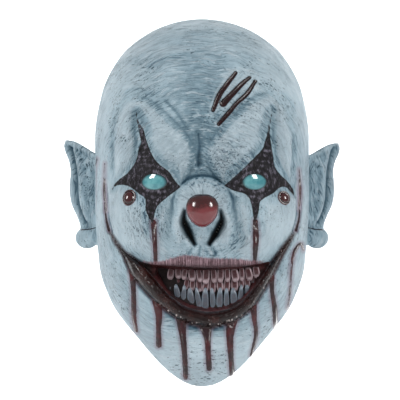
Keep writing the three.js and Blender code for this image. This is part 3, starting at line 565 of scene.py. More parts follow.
def skinPiece(name, who):
    index, points, normals, grid = {}, [], [], []

    def vertex(layer, i, j):
        j %= columns
        key = (layer, i, j)
        if key not in index:
            index[key] = len(points)
            source = outer if layer == 0 else inner
            p = source[i, j].copy()
            if who and j == centreColumn:
                p[0] += (1 if who == 1 else -1) * slitShift(p[2])
            points.append(p)
            normals.append((outerNormal if layer == 0 else innerNormal)[i, j])
            grid.append((layer, i, j))
        return index[key]

    faces = []
    walls = []
    for i, j in zip(*np.nonzero(owner == who)):
        faces.append((vertex(0, i, j), vertex(0, i + 1, j), vertex(0, i + 1, j + 1), vertex(0, i, j + 1)))
        faces.append((vertex(1, i, j), vertex(1, i, j + 1), vertex(1, i + 1, j + 1), vertex(1, i + 1, j)))
        for di, dj, a, b in besides:
            ni, nj = i + di, (j + dj) % columns
            if ni < 0:
                continue
            other = owner[ni, nj] if ni < rows - 1 else -2
            atSlit = who and other > 0 and other != who
            if other < 0 or atSlit:
                p, q = (i + a[0], j + a[1]), (i + b[0], j + b[1])
                walls.append([(0, *q), (0, *p), (1, *p), (1, *q)])
    if who == 0:
        for layer, pole in ((0, poleOuter), (1, poleInner)):
            top = len(points)
            points.append(pole)
            normals.append(np.array([0, 0, 1.0 if layer == 0 else -1.0]))
            grid.append((layer, 0, 0))
            for j in range(columns):
                a, b = vertex(layer, 0, j), vertex(layer, 0, j + 1)
                faces.append((top, a, b) if layer == 0 else (top, b, a))
    for wall in walls:  # the cut edges have corners of their own, so that they stay crisp
        at = [vertex(*w) for w in wall]
        flat = np.cross(points[at[1]] - points[at[0]], points[at[2]] - points[at[0]])
        flat /= max(np.linalg.norm(flat), 1e-9)
        start = len(points)
        points += [points[k].copy() for k in at]
        normals += [flat] * 4
        grid += [grid[k] for k in at]
        faces.append(tuple(range(start, start + 4)))
    obj = makeObject(name, points, faces)
    grid = np.array(grid)
    layers, gi, gj = grid.T
    front = (layers == 0) & onFace[gi, gj]

    def ink(value, reach=5.0):  # 0.5 on the edge of the mark, 1 well inside it, 0 from `reach` outside
        amount = np.clip(0.5 - value[gi, gj] / (2 * reach), 0, 1)
        return np.where(front, amount, 0)

    paint, eye, slit = bothSides(marks, "Paint", "Eye", "Slit")
    offMouth = np.minimum(marks["inside"], marks["opening"])
    facesFront = smoothStep(0.04, 0.16, -formNormal[..., 1])[gi, gj]
    lidRing = np.exp(-((eye - 2.4) / 1.3) ** 2) + np.exp(-((eye - 7.0) / 1.1) ** 2)
    lidRing -= np.exp(-((eye - 4.9) / 1.0) ** 2)
    ridges = paintWrinkles(u, v, paint, eye) + lidRing
    shade = 0.9 * bump(u, v, -2, 62, 20, 42) + 0.9 * bump(u, v, -3, 50, 7, 13)
    shade += 0.6 * (bump(u, v, -26, 33, 9, 16) + bump(u, v, 22, 33, 9, 16))
    besidePaint = np.where(onFace, smoothStep(0.0, 5.0, paint), 1)
    spread = dict(
        inkMakeUp=ink(paint), inkLip=ink(marks["band"]), inkUpperLip=ink(marks["upper"]),
        inkInside=ink(offMouth), inkDrip=ink(marks["drips"]) * facesFront, inkClaw=ink(marks["claws"]),
        inkCorner=ink(marks["corners"], 3.0), inkNostril=ink(slit), lidShade=ink(eye, 9.0),
        paintRidge=np.where(front, ridges[gi, gj], 0), paintEnd=smoothStep(36, 62, v)[gi, gj],
        browShade=np.where(front, shade[gi, gj], 0),
        lipAcross=u[gi, gj], lipFoot=smoothStep(-57.5, -62.5, v)[gi, gj],
        lipEdge=(smoothStep(-52, -62, v) * smoothStep(5, 8, offMouth))[gi, gj],
        lipTurn=(30 * np.arctan2(v + 25, u - 2.0001))[gi, gj],
        hollow=np.where(layers == 0, hollowGrid[gi, gj] * mix(0.35, 1, besidePaint[gi, gj]), 0),
        bareSide=layers == 1,
    )
    for mark, values in spread.items():
        setAttribute(obj, mark, values)
    brushStrokes(obj, outer[gi, gj])
    # the shading runs on unbroken where the pieces meet
    obj.data.normals_split_custom_set_from_vertices([tuple(n) for n in normals])
    return obj


def gridHollow(p, normal, reach):  # how far the surface lies under its surroundings, in mm
    smooth = np.stack([spread2d(p[..., k], reach, reach, np.mean) for k in range(3)], -1)
    return np.einsum("ijk,ijk->ij", smooth - p, normal)


hollowReach = ((2, 0.8), (5, 0.45), (11, 0.22))
hollowGrid = sum(share * gridHollow(outer, outerNormal, reach) for reach, share in hollowReach)


def brushStrokes(obj, points):  # the paint was brushed on in rings round the nose
    away = points - np.array([0.6, -100.0, -9.5])
    ring = np.maximum(np.hypot(away[:, 0], away[:, 2]), 1e-3)
    setAttribute(obj, "strokeAcross", np.linalg.norm(away, axis=1))
    setAttribute(obj, "strokeTurnX", away[:, 0] / ring)
    setAttribute(obj, "strokeTurnZ", away[:, 2] / ring)
    behind = smoothStep(50, 80, points[:, 1]) * smoothStep(95, 40, ring)
    setAttribute(obj, "strokeFade", behind)


# finishes
def colour(hexCode):  # a screen colour as the renderer's own numbers
    parts = [int(hexCode[k:k + 2], 16) / 255 for k in (0, 2, 4)]
    return tuple(c / 12.92 if c <= 0.04045 else ((c + 0.055) / 1.055) ** 2.4 for c in parts) + (1.0,)


class Finish:
    def __init__(self, name):
        self.material = bpy.data.materials.new(name)
        self.material.use_nodes = True
        self.tree = self.material.node_tree
        self.tree.nodes.clear()
        self.shader = self.tree.nodes.new("ShaderNodeBsdfPrincipled")
        end = self.tree.nodes.new("ShaderNodeOutputMaterial")
        self.tree.links.new(self.shader.outputs["BSDF"], end.inputs["Surface"])
        self.place = self.tree.nodes.new("ShaderNodeTexCoord").outputs["Object"]

    def feed(self, socket, value):
        if isinstance(value, bpy.types.NodeSocket):
            self.tree.links.new(value, socket)
        else:
            socket.default_value = value

    def node(self, kind, **settings):
        made = self.tree.nodes.new(kind)
        for key, value in settings.items():
            setattr(made, key, value)
        return made

    def set(self, **values):
        for key, value in values.items():
            self.feed(self.shader.inputs[key.replace("_", " ")], value)

    def mark(self, name):
        return self.node("ShaderNodeAttribute", attribute_name=name).outputs["Fac"]

    def scaled(self, x, y, z):
        made = self.node("ShaderNodeMapping")
        self.feed(made.inputs["Vector"], self.place)
        made.inputs["Scale"].default_value = (x, y, z)
        return made.outputs["Vector"]

    def joined(self, x, y, z=0.0):
        made = self.node("ShaderNodeCombineXYZ")
        for socket, value in zip(made.inputs, (x, y, z)):
            self.feed(socket, value)
        return made.outputs["Vector"]

    def noise(self, scale, detail=3.0, rough=0.55, vector=None, warp=0.0):
        made = self.node("ShaderNodeTexNoise")
        self.feed(made.inputs["Vector"], vector or self.place)
        made.inputs["Scale"].default_value = scale
        made.inputs["Detail"].default_value = detail
        made.inputs["Roughness"].default_value = rough
        made.inputs["Distortion"].default_value = warp
        return made.outputs["Fac"]

    def bands(self, direction, scale):
        made = self.node("ShaderNodeTexWave", wave_type="BANDS", bands_direction=direction)
        self.feed(made.inputs["Vector"], self.place)
        made.inputs["Scale"].default_value = scale
        return made.outputs["Fac"]

    def cells(self, scale, vector=None):
        made = self.node("ShaderNodeTexVoronoi", feature="F1")
        self.feed(made.inputs["Vector"], vector or self.place)
        made.inputs["Scale"].default_value = scale
        return made.outputs["Distance"]

    def sum(self, a, b, how="ADD"):
        made = self.node("ShaderNodeMath", operation=how)
        self.feed(made.inputs[0], a)
        self.feed(made.inputs[1], b)
        return made.outputs[0]

    def times(self, a, b):
        return self.sum(a, b, "MULTIPLY")

    def range(self, value, low, high, to0=0.0, to1=1.0):
        made = self.node("ShaderNodeMapRange", interpolation_type="SMOOTHSTEP")
        self.feed(made.inputs["Value"], value)
        made.inputs["From Min"].default_value = low
        made.inputs["From Max"].default_value = high
        made.inputs["To Min"].default_value = to0
        made.inputs["To Max"].default_value = to1
        return made.outputs["Result"]

    def blend(self, amount, a, b):
        made = self.node("ShaderNodeMix", data_type="RGBA")
        self.feed(made.inputs[0], amount)
        self.feed(made.inputs[6], a)
        self.feed(made.inputs[7], b)
        return made.outputs[2]

    def between(self, amount, a, b):
        made = self.node("ShaderNodeMix", data_type="FLOAT")
        self.feed(made.inputs[0], amount)
        self.feed(made.inputs[2], a)
        self.feed(made.inputs[3], b)
        return made.outputs[0]

    def bump(self, height, depth, strength):
        made = self.node("ShaderNodeBump")
        made.inputs["Strength"].default_value = strength
        made.inputs["Distance"].default_value = depth
        self.feed(made.inputs["Height"], height)
        return made.outputs["Normal"]


paint = dict(
    pale="b1c8d3", mid="9bb4c1", cool="8ea6b3", wash="6b8795", deepWashAndShade="35566a", fleck="20414f",
    makeUp="18151b", dryBrush="85808f", black="0c080a", lip="1b0b0a", lipBrown="4c2a26", lipPaintedHighlight="d9ccc8",
    upperLip="54212a", upperLipPale="c09aa4", flesh="4a2022", blood="26090c", bloodLight="4a161a",
    halo="9a8494", nostril="0b0d0f", latexBack="c8b694", latexDull="b09c79",
    highlight="c8d5dc", raisedLight="cfdce3", clawDeep="1c0608",
)


def paintedLatex(name):
    f = Finish(name)
    c = {key: colour(value) for key, value in paint.items()}
    patches = f.noise(16, 3, 0.6)
    mottle = f.noise(70, 4, 0.65)
    grain = f.noise(520, 3, 0.6)
    across, turnX, turnZ = f.mark("strokeAcross"), f.mark("strokeTurnX"), f.mark("strokeTurnZ")
    wander = f.times(f.sum(f.noise(28, 2, 0.5), -0.5), 14)

    def brushed(fine, long):  # places in the rings of brush strokes: fine across them, long along them
        return f.joined(f.times(f.sum(across, wander), fine), f.times(turnX, long), f.times(turnZ, long))

    strokes = f.noise(1.0, 3, 0.65, brushed(0.42, 8), 0.5)
    hairs = f.noise(1.0, 2, 0.7, brushed(1.1, 13), 0.4)
    lines = f.noise(1.0, 1, 0.5, brushed(0.95, 8), 0.6)
    dashes = f.cells(1.0, brushed(0.55, 17))
    smallDashes = f.cells(1.0, brushed(1.1, 42))
    hollow = f.mark("hollow")
    base = f.blend(f.range(patches, 0.35, 0.65), c["pale"], c["mid"])

    def coat(amount, tint):  # one more coat over what is there
        nonlocal base
        base = f.blend(amount, base, c[tint] if isinstance(tint, str) else tint)

    # pale blue-grey, washed darker along the brush strokes, with painted shade in the hollows
    coat(f.times(f.range(mottle, 0.45, 0.72), 0.6), "cool")
    streaky = f.sum(f.times(f.range(strokes, 0.52, 0.68), 0.42), f.times(f.range(hairs, 0.56, 0.72), 0.34))
    brushedOn = f.sum(1.0, f.mark("strokeFade"), "SUBTRACT")
    streaky = f.times(f.times(streaky, f.range(patches, 0.3, 0.6, 0.45, 1.0)), brushedOn)
    coat(streaky, "wash")
    streakyMottle = f.sum(strokes, f.times(f.sum(mottle, -0.5), 0.6))
    coat(f.times(f.mark("browShade"), f.range(streakyMottle, 0.36, 0.6, 0.35, 0.85)), "wash")
    wrinkled = f.sum(f.range(hollow, -0.4, 0.6, 0.5, 1.0), f.range(across, 85, 45), "MAXIMUM")
    fineLines = f.times(f.range(lines, 0.565, 0.615), f.range(patches, 0.36, 0.54))
    fineLines = f.times(fineLines, f.times(wrinkled, brushedOn))
    coat(f.times(fineLines, 0.9), "deepWashAndShade")
    coat(f.times(f.range(strokes, 0.47, 0.34), 0.45), "highlight")
    # painted shade: darker in the hollows in three steps, broken up by the mottle and the strokes
    uneven = f.sum(f.times(f.sum(mottle, -0.5), 1.1), f.times(f.sum(strokes, -0.5), 1.6))
    deep = f.sum(hollow, f.times(uneven, 0.6))
    coat(f.times(f.range(deep, 0.05, 1.1), 0.85), "wash")
    coat(f.times(f.range(deep, 0.7, 2.1), 0.9), "deepWashAndShade")
    coat(f.times(f.range(deep, 1.6, 3.2), 0.8), "fleck")
    # painted light: paler on the raised places
    high = f.range(f.sum(f.times(hollow, -1.0), f.times(uneven, -0.3)), 0.1, 1.0)
    coat(f.times(high, 0.4), "raisedLight")
    # small dark pits, thicker in some places
    crowd = f.range(f.noise(26, 4, 0.65), 0.40, 0.66, 0.0, 1.0)
    pits = f.range(f.sum(dashes, f.between(crowd, 0.05, 0.24), "SUBTRACT"), 0.05, -0.05)
    smallPits = f.range(f.sum(smallDashes, f.between(crowd, 0.05, 0.27), "SUBTRACT"), 0.06, -0.06)
    roundPits = f.range(f.sum(f.cells(300), f.between(crowd, 0.05, 0.13), "SUBTRACT"), 0.04, -0.03)
    spots = f.sum(f.sum(f.times(pits, 0.9), f.times(smallPits, 0.65), "MAXIMUM"), roundPits, "MAXIMUM")
    spotShare = f.times(f.range(mottle, 0.32, 0.5, 0.25, 1.0), f.range(brushedOn, 0.0, 1.0, 0.3, 1.0))
    spots = f.times(spots, spotShare)
    coat(f.times(spots, 0.9), "fleck")
    ragged = f.times(f.sum(grain, -0.5), 0.10)
    softRag = f.times(f.sum(mottle, -0.5), 0.22)

    def inside(name):  # 1 inside the mark, with a slightly ragged edge
        return f.range(f.sum(f.mark(name), ragged), 0.465, 0.535)

    # the soft red round the drips and the mouth, then the drips
    coat(f.times(f.range(f.sum(f.mark("inkDrip"), softRag), 0.16, 0.5), 0.5), "halo")
    coat(f.times(f.range(f.sum(f.mark("inkLip"), softRag), 0.2, 0.52), 0.75), "lipBrown")
    coat(f.times(f.range(f.mark("inkCorner"), 0.1, 0.5), 0.5), "halo")
    drip = inside("inkDrip")
    blood = f.blend(f.range(mottle, 0.42, 0.66), c["blood"], c["bloodLight"])
    coat(f.times(drip, 0.97), blood)
    claw = inside("inkClaw")
    coat(claw, f.blend(f.range(strokes, 0.45, 0.6), c["blood"], c["clawDeep"]))
    # black make-up, dry-brushed grey
    makeUp = inside("inkMakeUp")
    flakes = f.sum(f.noise(330, 4, 0.7, f.scaled(1, 1, 0.55), 0.4), -0.5)
    worn = f.sum(f.times(f.sum(hairs, -0.5), 2.2), f.times(flakes, 6.0))
    ridge = f.sum(f.times(f.mark("paintRidge"), 0.55), worn)
    black = f.blend(f.range(ridge, -0.9, -0.1), c["black"], c["makeUp"])
    brushOut = f.sum(f.range(mottle, 0.3, 0.55, 0.35, 0.8), f.times(f.mark("paintEnd"), 0.35))
    ridge = f.sum(ridge, f.times(f.mark("paintEnd"), 0.7))
    black = f.blend(f.times(f.range(ridge, 0.1, 1.3), brushOut), black, c["dryBrush"])
    rim = f.range(f.sum(f.mark("inkMakeUp"), f.times(softRag, 0.6)), 0.5, 0.66, 1.0, 0.0)
    black = f.blend(f.times(rim, 0.85), black, c["black"])
    # painted shade: the make-up goes blacker in the hollows
    black = f.blend(f.times(f.range(hollow, 0.1, 0.9), 0.8), black, c["black"])
    coat(makeUp, black)
    lids = f.range(f.mark("lidShade"), 0.44, 0.5)
    coat(f.times(lids, f.times(makeUp, 0.9)), "black")
    coat(f.range(f.sum(f.mark("inkNostril"), softRag), 0.2, 0.66), "nostril")
    # the pleated upper lip, the flesh inside and the band, with a painted highlight along its lower edge
    lipAcross = f.joined(f.times(f.mark("lipAcross"), 1.1), f.times(mottle, 2.0), 3.0)
    lipLines = f.noise(1.0, 2, 0.7, lipAcross)
    upper = f.range(f.sum(f.mark("inkUpperLip"), f.times(f.sum(lipLines, -0.5), 0.5)), 0.34, 0.56)
    pleats = f.times(f.range(lipLines, 0.44, 0.62), f.range(mottle, 0.3, 0.6, 0.4, 1.0))
    lipPink = f.blend(pleats, c["upperLip"], c["upperLipPale"])
    coat(f.times(upper, 0.9), f.blend(f.times(f.mark("lipFoot"), 0.8), lipPink, c["flesh"]))
    coat(inside("inkInside"), f.blend(f.range(mottle, 0.4, 0.65), c["flesh"], c["lip"]))
    lip = inside("inkLip")
    lipColour = f.blend(f.times(f.range(mottle, 0.45, 0.7), 0.5), c["lip"], c["lipBrown"])
    coat(lip, lipColour)
    # painted highlight: pale glints along the lower edge of the band, where the light would catch it
    inkLip, lipTurn = f.mark("inkLip"), f.mark("lipTurn")
    glintCells = f.cells(1.0, f.joined(lipTurn, f.times(inkLip, 3.2), 7.0))
    edge = f.times(f.range(inkLip, 0.53, 0.6), f.range(inkLip, 0.82, 0.68))
    paintedGlints = f.times(edge, f.range(glintCells, 0.34, 0.2))
    paintedGlints = f.times(paintedGlints, f.times(f.mark("lipEdge"), f.range(patches, 0.4, 0.5)))
    coat(f.times(paintedGlints, 0.85), "lipPaintedHighlight")
    coat(inside("inkCorner"), "blood")
    bare = f.mark("bareSide")
    coat(bare, f.blend(f.range(mottle, 0.35, 0.7), c["latexBack"], c["latexDull"]))
    f.set(Base_Color=base)
    # how shiny each part is
    gloss = f.sum(f.sum(lip, drip, "MAXIMUM"), claw, "MAXIMUM")
    skinRough = f.range(mottle, 0.3, 0.7, 0.40, 0.58)
    rough = f.between(gloss, skinRough, f.range(grain, 0.35, 0.65, 0.08, 0.22))
    rough = f.between(f.times(makeUp, f.sum(1.0, gloss, "SUBTRACT")), rough, 0.34)
    rough = f.between(bare, rough, 0.7)
    f.set(Roughness=rough, Coat_Weight=f.times(gloss, 0.25), Coat_Roughness=0.06)
    strokeRelief = f.times(f.sum(f.times(strokes, 1.3), f.times(hairs, 0.8)), brushedOn)
    relief = f.sum(strokeRelief, f.times(grain, 0.25))
    relief = f.sum(relief, f.times(spots, -0.5))
    relief = f.sum(relief, f.times(fineLines, -0.5))
    relief = f.times(relief, f.range(gloss, 0.0, 1.0, 1.0, 0.15))
    lipBeads = f.noise(1.0, 1, 0.5, f.joined(lipTurn, f.times(inkLip, 4.0), 5.0))
    beads = f.sum(f.noise(300, 3, 0.7), f.times(f.times(lipBeads, lip), 3.4))
    relief = f.sum(relief, f.times(gloss, f.times(beads, 0.22)))
    f.set(Normal=f.bump(relief, 0.0013, 0.9))
    f.set(Specular_IOR_Level=0.3)
    return f.material


skinFinish = paintedLatex("paintedLatex")
headSkin = skinPiece("headSkin", 0)
flapLeft = skinPiece("flapSkinLeft", 1)
flapRight = skinPiece("flapSkinRight", 2)
for obj in (headSkin, flapLeft, flapRight):
    obj.data.materials.append(skinFinish)
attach(headSkin, "head")
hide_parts("head_skin")
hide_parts("back_flap_left")
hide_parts("back_flap_right")
for obj, body, side in ((flapLeft, "flap_left", 1), (flapRight, "flap_right", -1)):
    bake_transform(obj)
print("skin", [len(o.data.polygons) for o in (headSkin, flapLeft, flapRight)])


# finding a place on the skin
faceRows, faceColumns = np.nonzero(onFace)


def skinAt(atU, atV):  # the point of the skin that shows at (u, v), and the way it faces
    away = np.hypot(u[faceRows, faceColumns] - atU, v[faceRows, faceColumns] - atV)
    near = np.argsort(away)[:4]
    weight = 1 / (away[near] + 0.05)
    weight /= weight.sum()
    p = (outer[faceRows[near], faceColumns[near]] * weight[:, None]).sum(0)
    n = unit((outerNormal[faceRows[near], faceColumns[near]] * weight[:, None]).sum(0))
    return p, n


def atDepth(atU, atV, y):  # the point at depth y that shows at (u, v)
    s = maskShape["eyeDistance"] / (maskShape["eyeDistance"] + y)
    x = maskShape["eyeX"] + (atU - maskShape["eyeX"]) / s
    return np.array([x, y, maskShape["eyeZ"] + (atV - maskShape["eyeZ"]) / s])


def lathe(profile, turns, outline=None):  # (radius, height) rows turned about z, first and last on the axis
    points, faces = [], []
    rings = profile[1:-1]
    points.append((0, 0, profile[0][1]))
    for r, h in rings:
        for k in range(turns):
            a = 2 * math.pi * k / turns
            x, y = r * math.cos(a), r * math.sin(a)
            points.append(outline(x, y, h) if outline else (x, y, h))
    points.append((0, 0, profile[-1][1]))
    last = len(points) - 1
    for k in range(turns):
        n = (k + 1) % turns
        faces.append((0, 1 + n, 1 + k))
        for i in range(len(rings) - 1):
            a, b = 1 + i * turns, 1 + (i + 1) * turns
            faces.append((a + k, a + n, b + n, b + k))
        faces.append((1 + (len(rings) - 1) * turns + k, 1 + (len(rings) - 1) * turns + n, last))
    points = np.array(points, float)
    middle = points.mean(0)
    a, b, c = (points[i] for i in faces[turns // 2][:3])
    if np.dot(np.cross(b - a, c - a), (a + b + c) / 3 - middle) < 0:
        faces = [f[::-1] for f in faces]
    return points, faces


def ballProfile(rings):
    return [(math.sin(t) if 0 < t < math.pi else 0.0, math.cos(t)) for t in np.linspace(0, math.pi, rings)]


def facing(points, place, normal):  # z of the points turned to the normal
    n = unit(np.asarray(normal, float))
    side = unit(np.cross((0.0, 0.0, 1.0), n))
    return points[:, :1] * side + points[:, 1:2] * np.cross(n, side) + points[:, 2:] * n + place


# eyes
lens = dict(
    halfWidth=16.0, halfHeight=11.5, depth=7.0, behind=5.0, turns=72, rimShare=1.22,
    teal="3f8a94", pale="6fb3b8", dark="0f2a31",
)


def lensFinish():
    f = Finish("tealLens")
    edge = f.mark("fromMiddle")
    clouds = f.noise(130, 4, 0.6)
    spokes = f.noise(700, 2, 0.5, f.scaled(1, 1, 0.25))
    tint = f.blend(f.range(clouds, 0.35, 0.7), colour(lens["teal"]), colour(lens["pale"]))
    tint = f.blend(f.times(f.range(spokes, 0.55, 0.75), 0.3), tint, colour(lens["teal"]))
    # painted shade: the lens goes dark towards its rim, under the lids
    ring = f.range(f.sum(edge, f.times(f.sum(clouds, -0.5), 0.25)), 0.72, 1.0)
    f.set(Base_Color=f.blend(ring, tint, colour(lens["dark"])))
    f.set(Roughness=f.range(clouds, 0.3, 0.7, 0.05, 0.12), Coat_Weight=1.0, Coat_Roughness=0.03)
    f.set(Normal=f.bump(clouds, 0.0002, 0.3))
    return f.material


lensMaterial = lensFinish()


def eyeLens(name, node, hole):  # set square to the rim of the lids and a little behind it
    hole = np.array(hole)
    middle = (hole.min(0) + hole.max(0)) / 2
    rim = np.array([skinAt(*(middle + (p - middle) * lens["rimShare"]))[0] for p in hole])
    centre = rim.mean(0)
    square = np.linalg.svd(rim - centre)[2][2]
    square *= -np.sign(square[1])
    square = unit(square * np.array([1, 1, 0.5]))
    points, faces = lathe(ballProfile(33), lens["turns"])
    points *= np.array([lens["halfWidth"], lens["halfHeight"], lens["depth"]])
    edge = np.hypot(points[:, 0] / 11.5, points[:, 1] / 7.0)
    obj = makeObject(name, facing(points, centre - square * lens["behind"], square), faces)
    setAttribute(obj, "fromMiddle", np.clip(edge, 0, 1.5))
    obj.data.materials.append(lensMaterial)
    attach(obj, "head")
    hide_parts(node)


eyeLens("lensLeft", "eye_lens_left", eyes["leftHole"])
eyeLens("lensRight", "eye_lens_right", eyes["rightHole"])


# nose tip and cheek studs: red gloss
redGloss = dict(dark="160405", deep="3e080c", pale="7a3337")
noseCap = dict(
    middle=(0.3, -13.2), halfWidth=13.2, halfHeight=13.9, depth=11.0, behind=6.0, taper=0.17, turns=80,
)
stud = dict(
    right=(-62.3, -2.6), rightHalf=(5.7, 7.1), left=(70.1, -3.1), leftHalf=(5.6, 6.1),
    profile=[(0, 3.3), (0.25, 3.2), (0.5, 2.8), (0.66, 2.2), (0.74, 1.55), (0.79, 1.3), (0.84, 1.5),
             (0.9, 1.75), (0.96, 1.6), (1.0, 1.1), (1.02, 0.2), (1.0, -1.2), (0, -1.2)],
)


def redFinish(name, topDark):
    f = Finish(name)
    clouds = f.noise(90, 4, 0.62)
    fine = f.noise(420, 3, 0.6)
    shade = f.sum(f.mark("shade"), f.times(f.sum(clouds, -0.5), topDark))
    tint = f.blend(f.range(shade, 0.15, 0.55), colour(redGloss["pale"]), colour(redGloss["deep"]))
    tint = f.blend(f.range(shade, 0.6, 0.95), tint, colour(redGloss["dark"]))
    tint = f.blend(f.times(f.range(fine, 0.6, 0.75), 0.4), tint, colour(redGloss["dark"]))
    f.set(Base_Color=tint, Roughness=f.range(clouds, 0.3, 0.7, 0.10, 0.22))
    f.set(Coat_Weight=0.8, Coat_Roughness=0.05)
    f.set(Normal=f.bump(f.sum(f.times(clouds, 0.8), f.times(fine, 0.2)), 0.0008, 0.5))
    return f.material


def noseTip():
    lo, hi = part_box("nose_tip")
    front = min(lo[1], hi[1]) / mm
    centre = atDepth(*noseCap["middle"], front + noseCap["depth"])
    points, faces = lathe([(r ** 0.92, h) for r, h in ballProfile(41)], noseCap["turns"])
    x, y, z = points.T
    wide = 1 + noseCap["taper"] * np.clip(y, -1, 1) - 0.05 * np.clip(-y - 0.6, 0, 1)
    crown = 1 - 0.045 * np.exp(-(x / 0.28) ** 2) * np.clip(y, 0, 1)
    points = np.stack([x * wide * noseCap["halfWidth"], y * crown * noseCap["halfHeight"],
                       np.where(z > 0, z * noseCap["depth"], z * noseCap["behind"])], -1)
    obj = makeObject("noseTip", facing(points, centre, (0, -1, 0)), faces)
    setAttribute(obj, "shade", 0.35 + 0.5 * y - 0.10 * z)
    obj.data.materials.append(redFinish("noseRed", 0.9))
    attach(obj, "head")
    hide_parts("nose_tip")


def cheekStud(name, node, place, half, finish):
    p, n = skinAt(*place)
    points, faces = lathe(stud["profile"], 56)
    radius = np.hypot(points[:, 0], points[:, 1])
    points *= np.array([half[0], half[1], 1])
    lean = unit(mix(n, np.array([0.0, -1.0, 0.0]), 0.3))
    obj = makeObject(name, facing(points, p, lean), faces)
    ring = np.exp(-((radius - 0.79) / 0.07) ** 2)
    setAttribute(obj, "shade", np.clip(0.62 + 0.5 * ring - 0.15 * (radius > 0.86), 0, 1.2))
    obj.data.materials.append(finish)
    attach(obj, "head")
    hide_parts(node)


noseTip()
studRed = redFinish("studRed", 0.5)
cheekStud("studLeft", "cheek_stud_left", stud["left"], stud["leftHalf"], studRed)
cheekStud("studRight", "cheek_stud_right", stud["right"], stud["rightHalf"], studRed)
print("eyes, nose tip and studs")


# teeth and gums
jaw = dict(
    front=-92.5, curve=5.0, curveAt=38.0, pitch=6.1, start=-38.5, to=46.0, seed=7,
    upperTop=-61.0, upperFoot=-75.2, secondTop=-69.5, secondFoot=-84.6,
    lowerTop=-81.2, gumThick=3.4,
    ivory="c4adb3", ivoryDark="4a2226", slate="8796a3", gum="4a1418", gumDark="160607",
)


def lipTop(atU):  # top edge of the lower lip, under the teeth
    return -99.0 + 19.0 * abs((atU - 5) / 42.0) ** 2.4


def toothFinish(name, stain, body):
    f = Finish(name)
    edge, root = f.mark("toothEdge"), f.mark("toothRoot")
    clouds = f.noise(240, 4, 0.6)
    grooves = f.noise(900, 2, 0.5, f.scaled(1, 1, 0.15))
    tint = f.blend(f.range(edge, 0.38, 0.72), colour(stain), colour(body))
    tint = f.blend(f.times(f.range(clouds, 0.4, 0.7), 0.35), tint, colour(jaw["ivoryDark"]))
    tint = f.blend(f.times(f.range(grooves, 0.55, 0.7), 0.3), tint, colour(jaw["ivoryDark"]))
    atGum = f.range(f.sum(root, f.times(f.sum(clouds, -0.5), 0.5)), 0.75, 1.05)
    tint = f.blend(atGum, tint, colour(jaw["gumDark"]))
    f.set(Base_Color=tint, Roughness=f.range(clouds, 0.3, 0.7, 0.18, 0.34))
    f.set(Coat_Weight=0.4, Coat_Roughness=0.1)
    f.set(Normal=f.bump(f.sum(f.times(grooves, 0.6), f.times(clouds, 0.5)), 0.0005, 0.5))
    return f.material


def gumFinish():
    f = Finish("darkGum")
    clouds, fine = f.noise(150, 4, 0.6), f.noise(600, 3, 0.6)
    f.set(Base_Color=f.blend(f.range(clouds, 0.35, 0.65), colour(jaw["gum"]), colour(jaw["gumDark"])))
    f.set(Roughness=f.range(fine, 0.35, 0.65, 0.2, 0.36))
    f.set(Normal=f.bump(f.sum(clouds, f.times(fine, 0.4)), 0.0012, 0.7))
    return f.material


def tooth(centreU, topV, footV, width, depth, y, tilt, rng):
    rings, turns = 15, 24
    halfHeight = (topV - footV) / 2
    power = 0.85  # squarer than a ball
    points, faces = lathe(ballProfile(rings), turns)
    x, yy, z = points.T
    around = np.arctan2(yy, x)
    flat = np.maximum(np.abs(z), 1e-9) ** 0.75 * np.sign(z)
    radius = (1 - np.abs(flat) ** (2 / power)) ** (power / 2)
    squareX = np.sign(np.cos(around)) * np.abs(np.cos(around)) ** 0.7
    squareY = np.sign(np.sin(around)) * np.abs(np.sin(around)) ** 0.7
    waist = 1 - 0.26 * (flat + 1) / 2 if topV > -75 else 1 - 0.34 * (1 + flat) / 2
    wobble = 1 + 0.05 * np.sin(around * 3 + rng.random() * 6)
    local = np.stack([squareX * radius * width / 2 * waist * wobble, squareY * radius * depth / 2,
                      flat * halfHeight], -1)
    edge = np.maximum(np.abs(local[:, 0]) / (width / 2), np.abs(local[:, 2]) / halfHeight)
    c, s = math.cos(tilt), math.sin(tilt)
    turned = np.stack([local[:, 0] * c - local[:, 2] * s, local[:, 1],
                       local[:, 0] * s + local[:, 2] * c], -1)
    return turned + atDepth(centreU, (topV + footV) / 2, y), faces, edge, (flat + 1) / 2


def toothRow(name, rows, sign, gumLine, rootUp, node, stain, body):
    rng = random.Random(jaw["seed"] + len(name))
    points, faces, edges, roots = [], [], [], []
    start = 0
    for row in rows:
        at = jaw["start"] + row["shift"]
        while at < jaw["to"] + row["shift"] * 0.5:
            width = jaw["pitch"] * (0.8 + 0.42 * rng.random()) * row["size"]
            y = jaw["front"] + jaw["curve"] * ((at - 6) / jaw["curveAt"]) ** 2 + row["back"]
            top = row["top"](at) + (rng.random() - 0.5) * 2.4
            foot = row["foot"](at) + (rng.random() - 0.5) * 2.6
            tilt = (rng.random() - 0.5) * 0.3 + sign * (at - 6) * 0.002
            y += rng.random() * 1.2
            p, f, e, r = tooth(at + width / 2, top, foot, width * 1.02, 5.0, y, tilt, rng)
            points.append(p)
            faces += [tuple(k + start for k in face) for face in f]
            edges.append(e)
            roots.append(r if rootUp else 1 - r)
            start += len(p)
            at += width
    obj = makeObject(name, np.vstack(points), faces)
    setAttribute(obj, "toothEdge", np.concatenate(edges))
    setAttribute(obj, "toothRoot", np.concatenate(roots))
    obj.data.materials.append(toothFinish(name + "Enamel", stain, body))
    gumObj = gum(name + "Gum", gumLine)
    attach(obj, "head")
    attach(gumObj, "head")
    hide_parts(node)
    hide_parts(node)


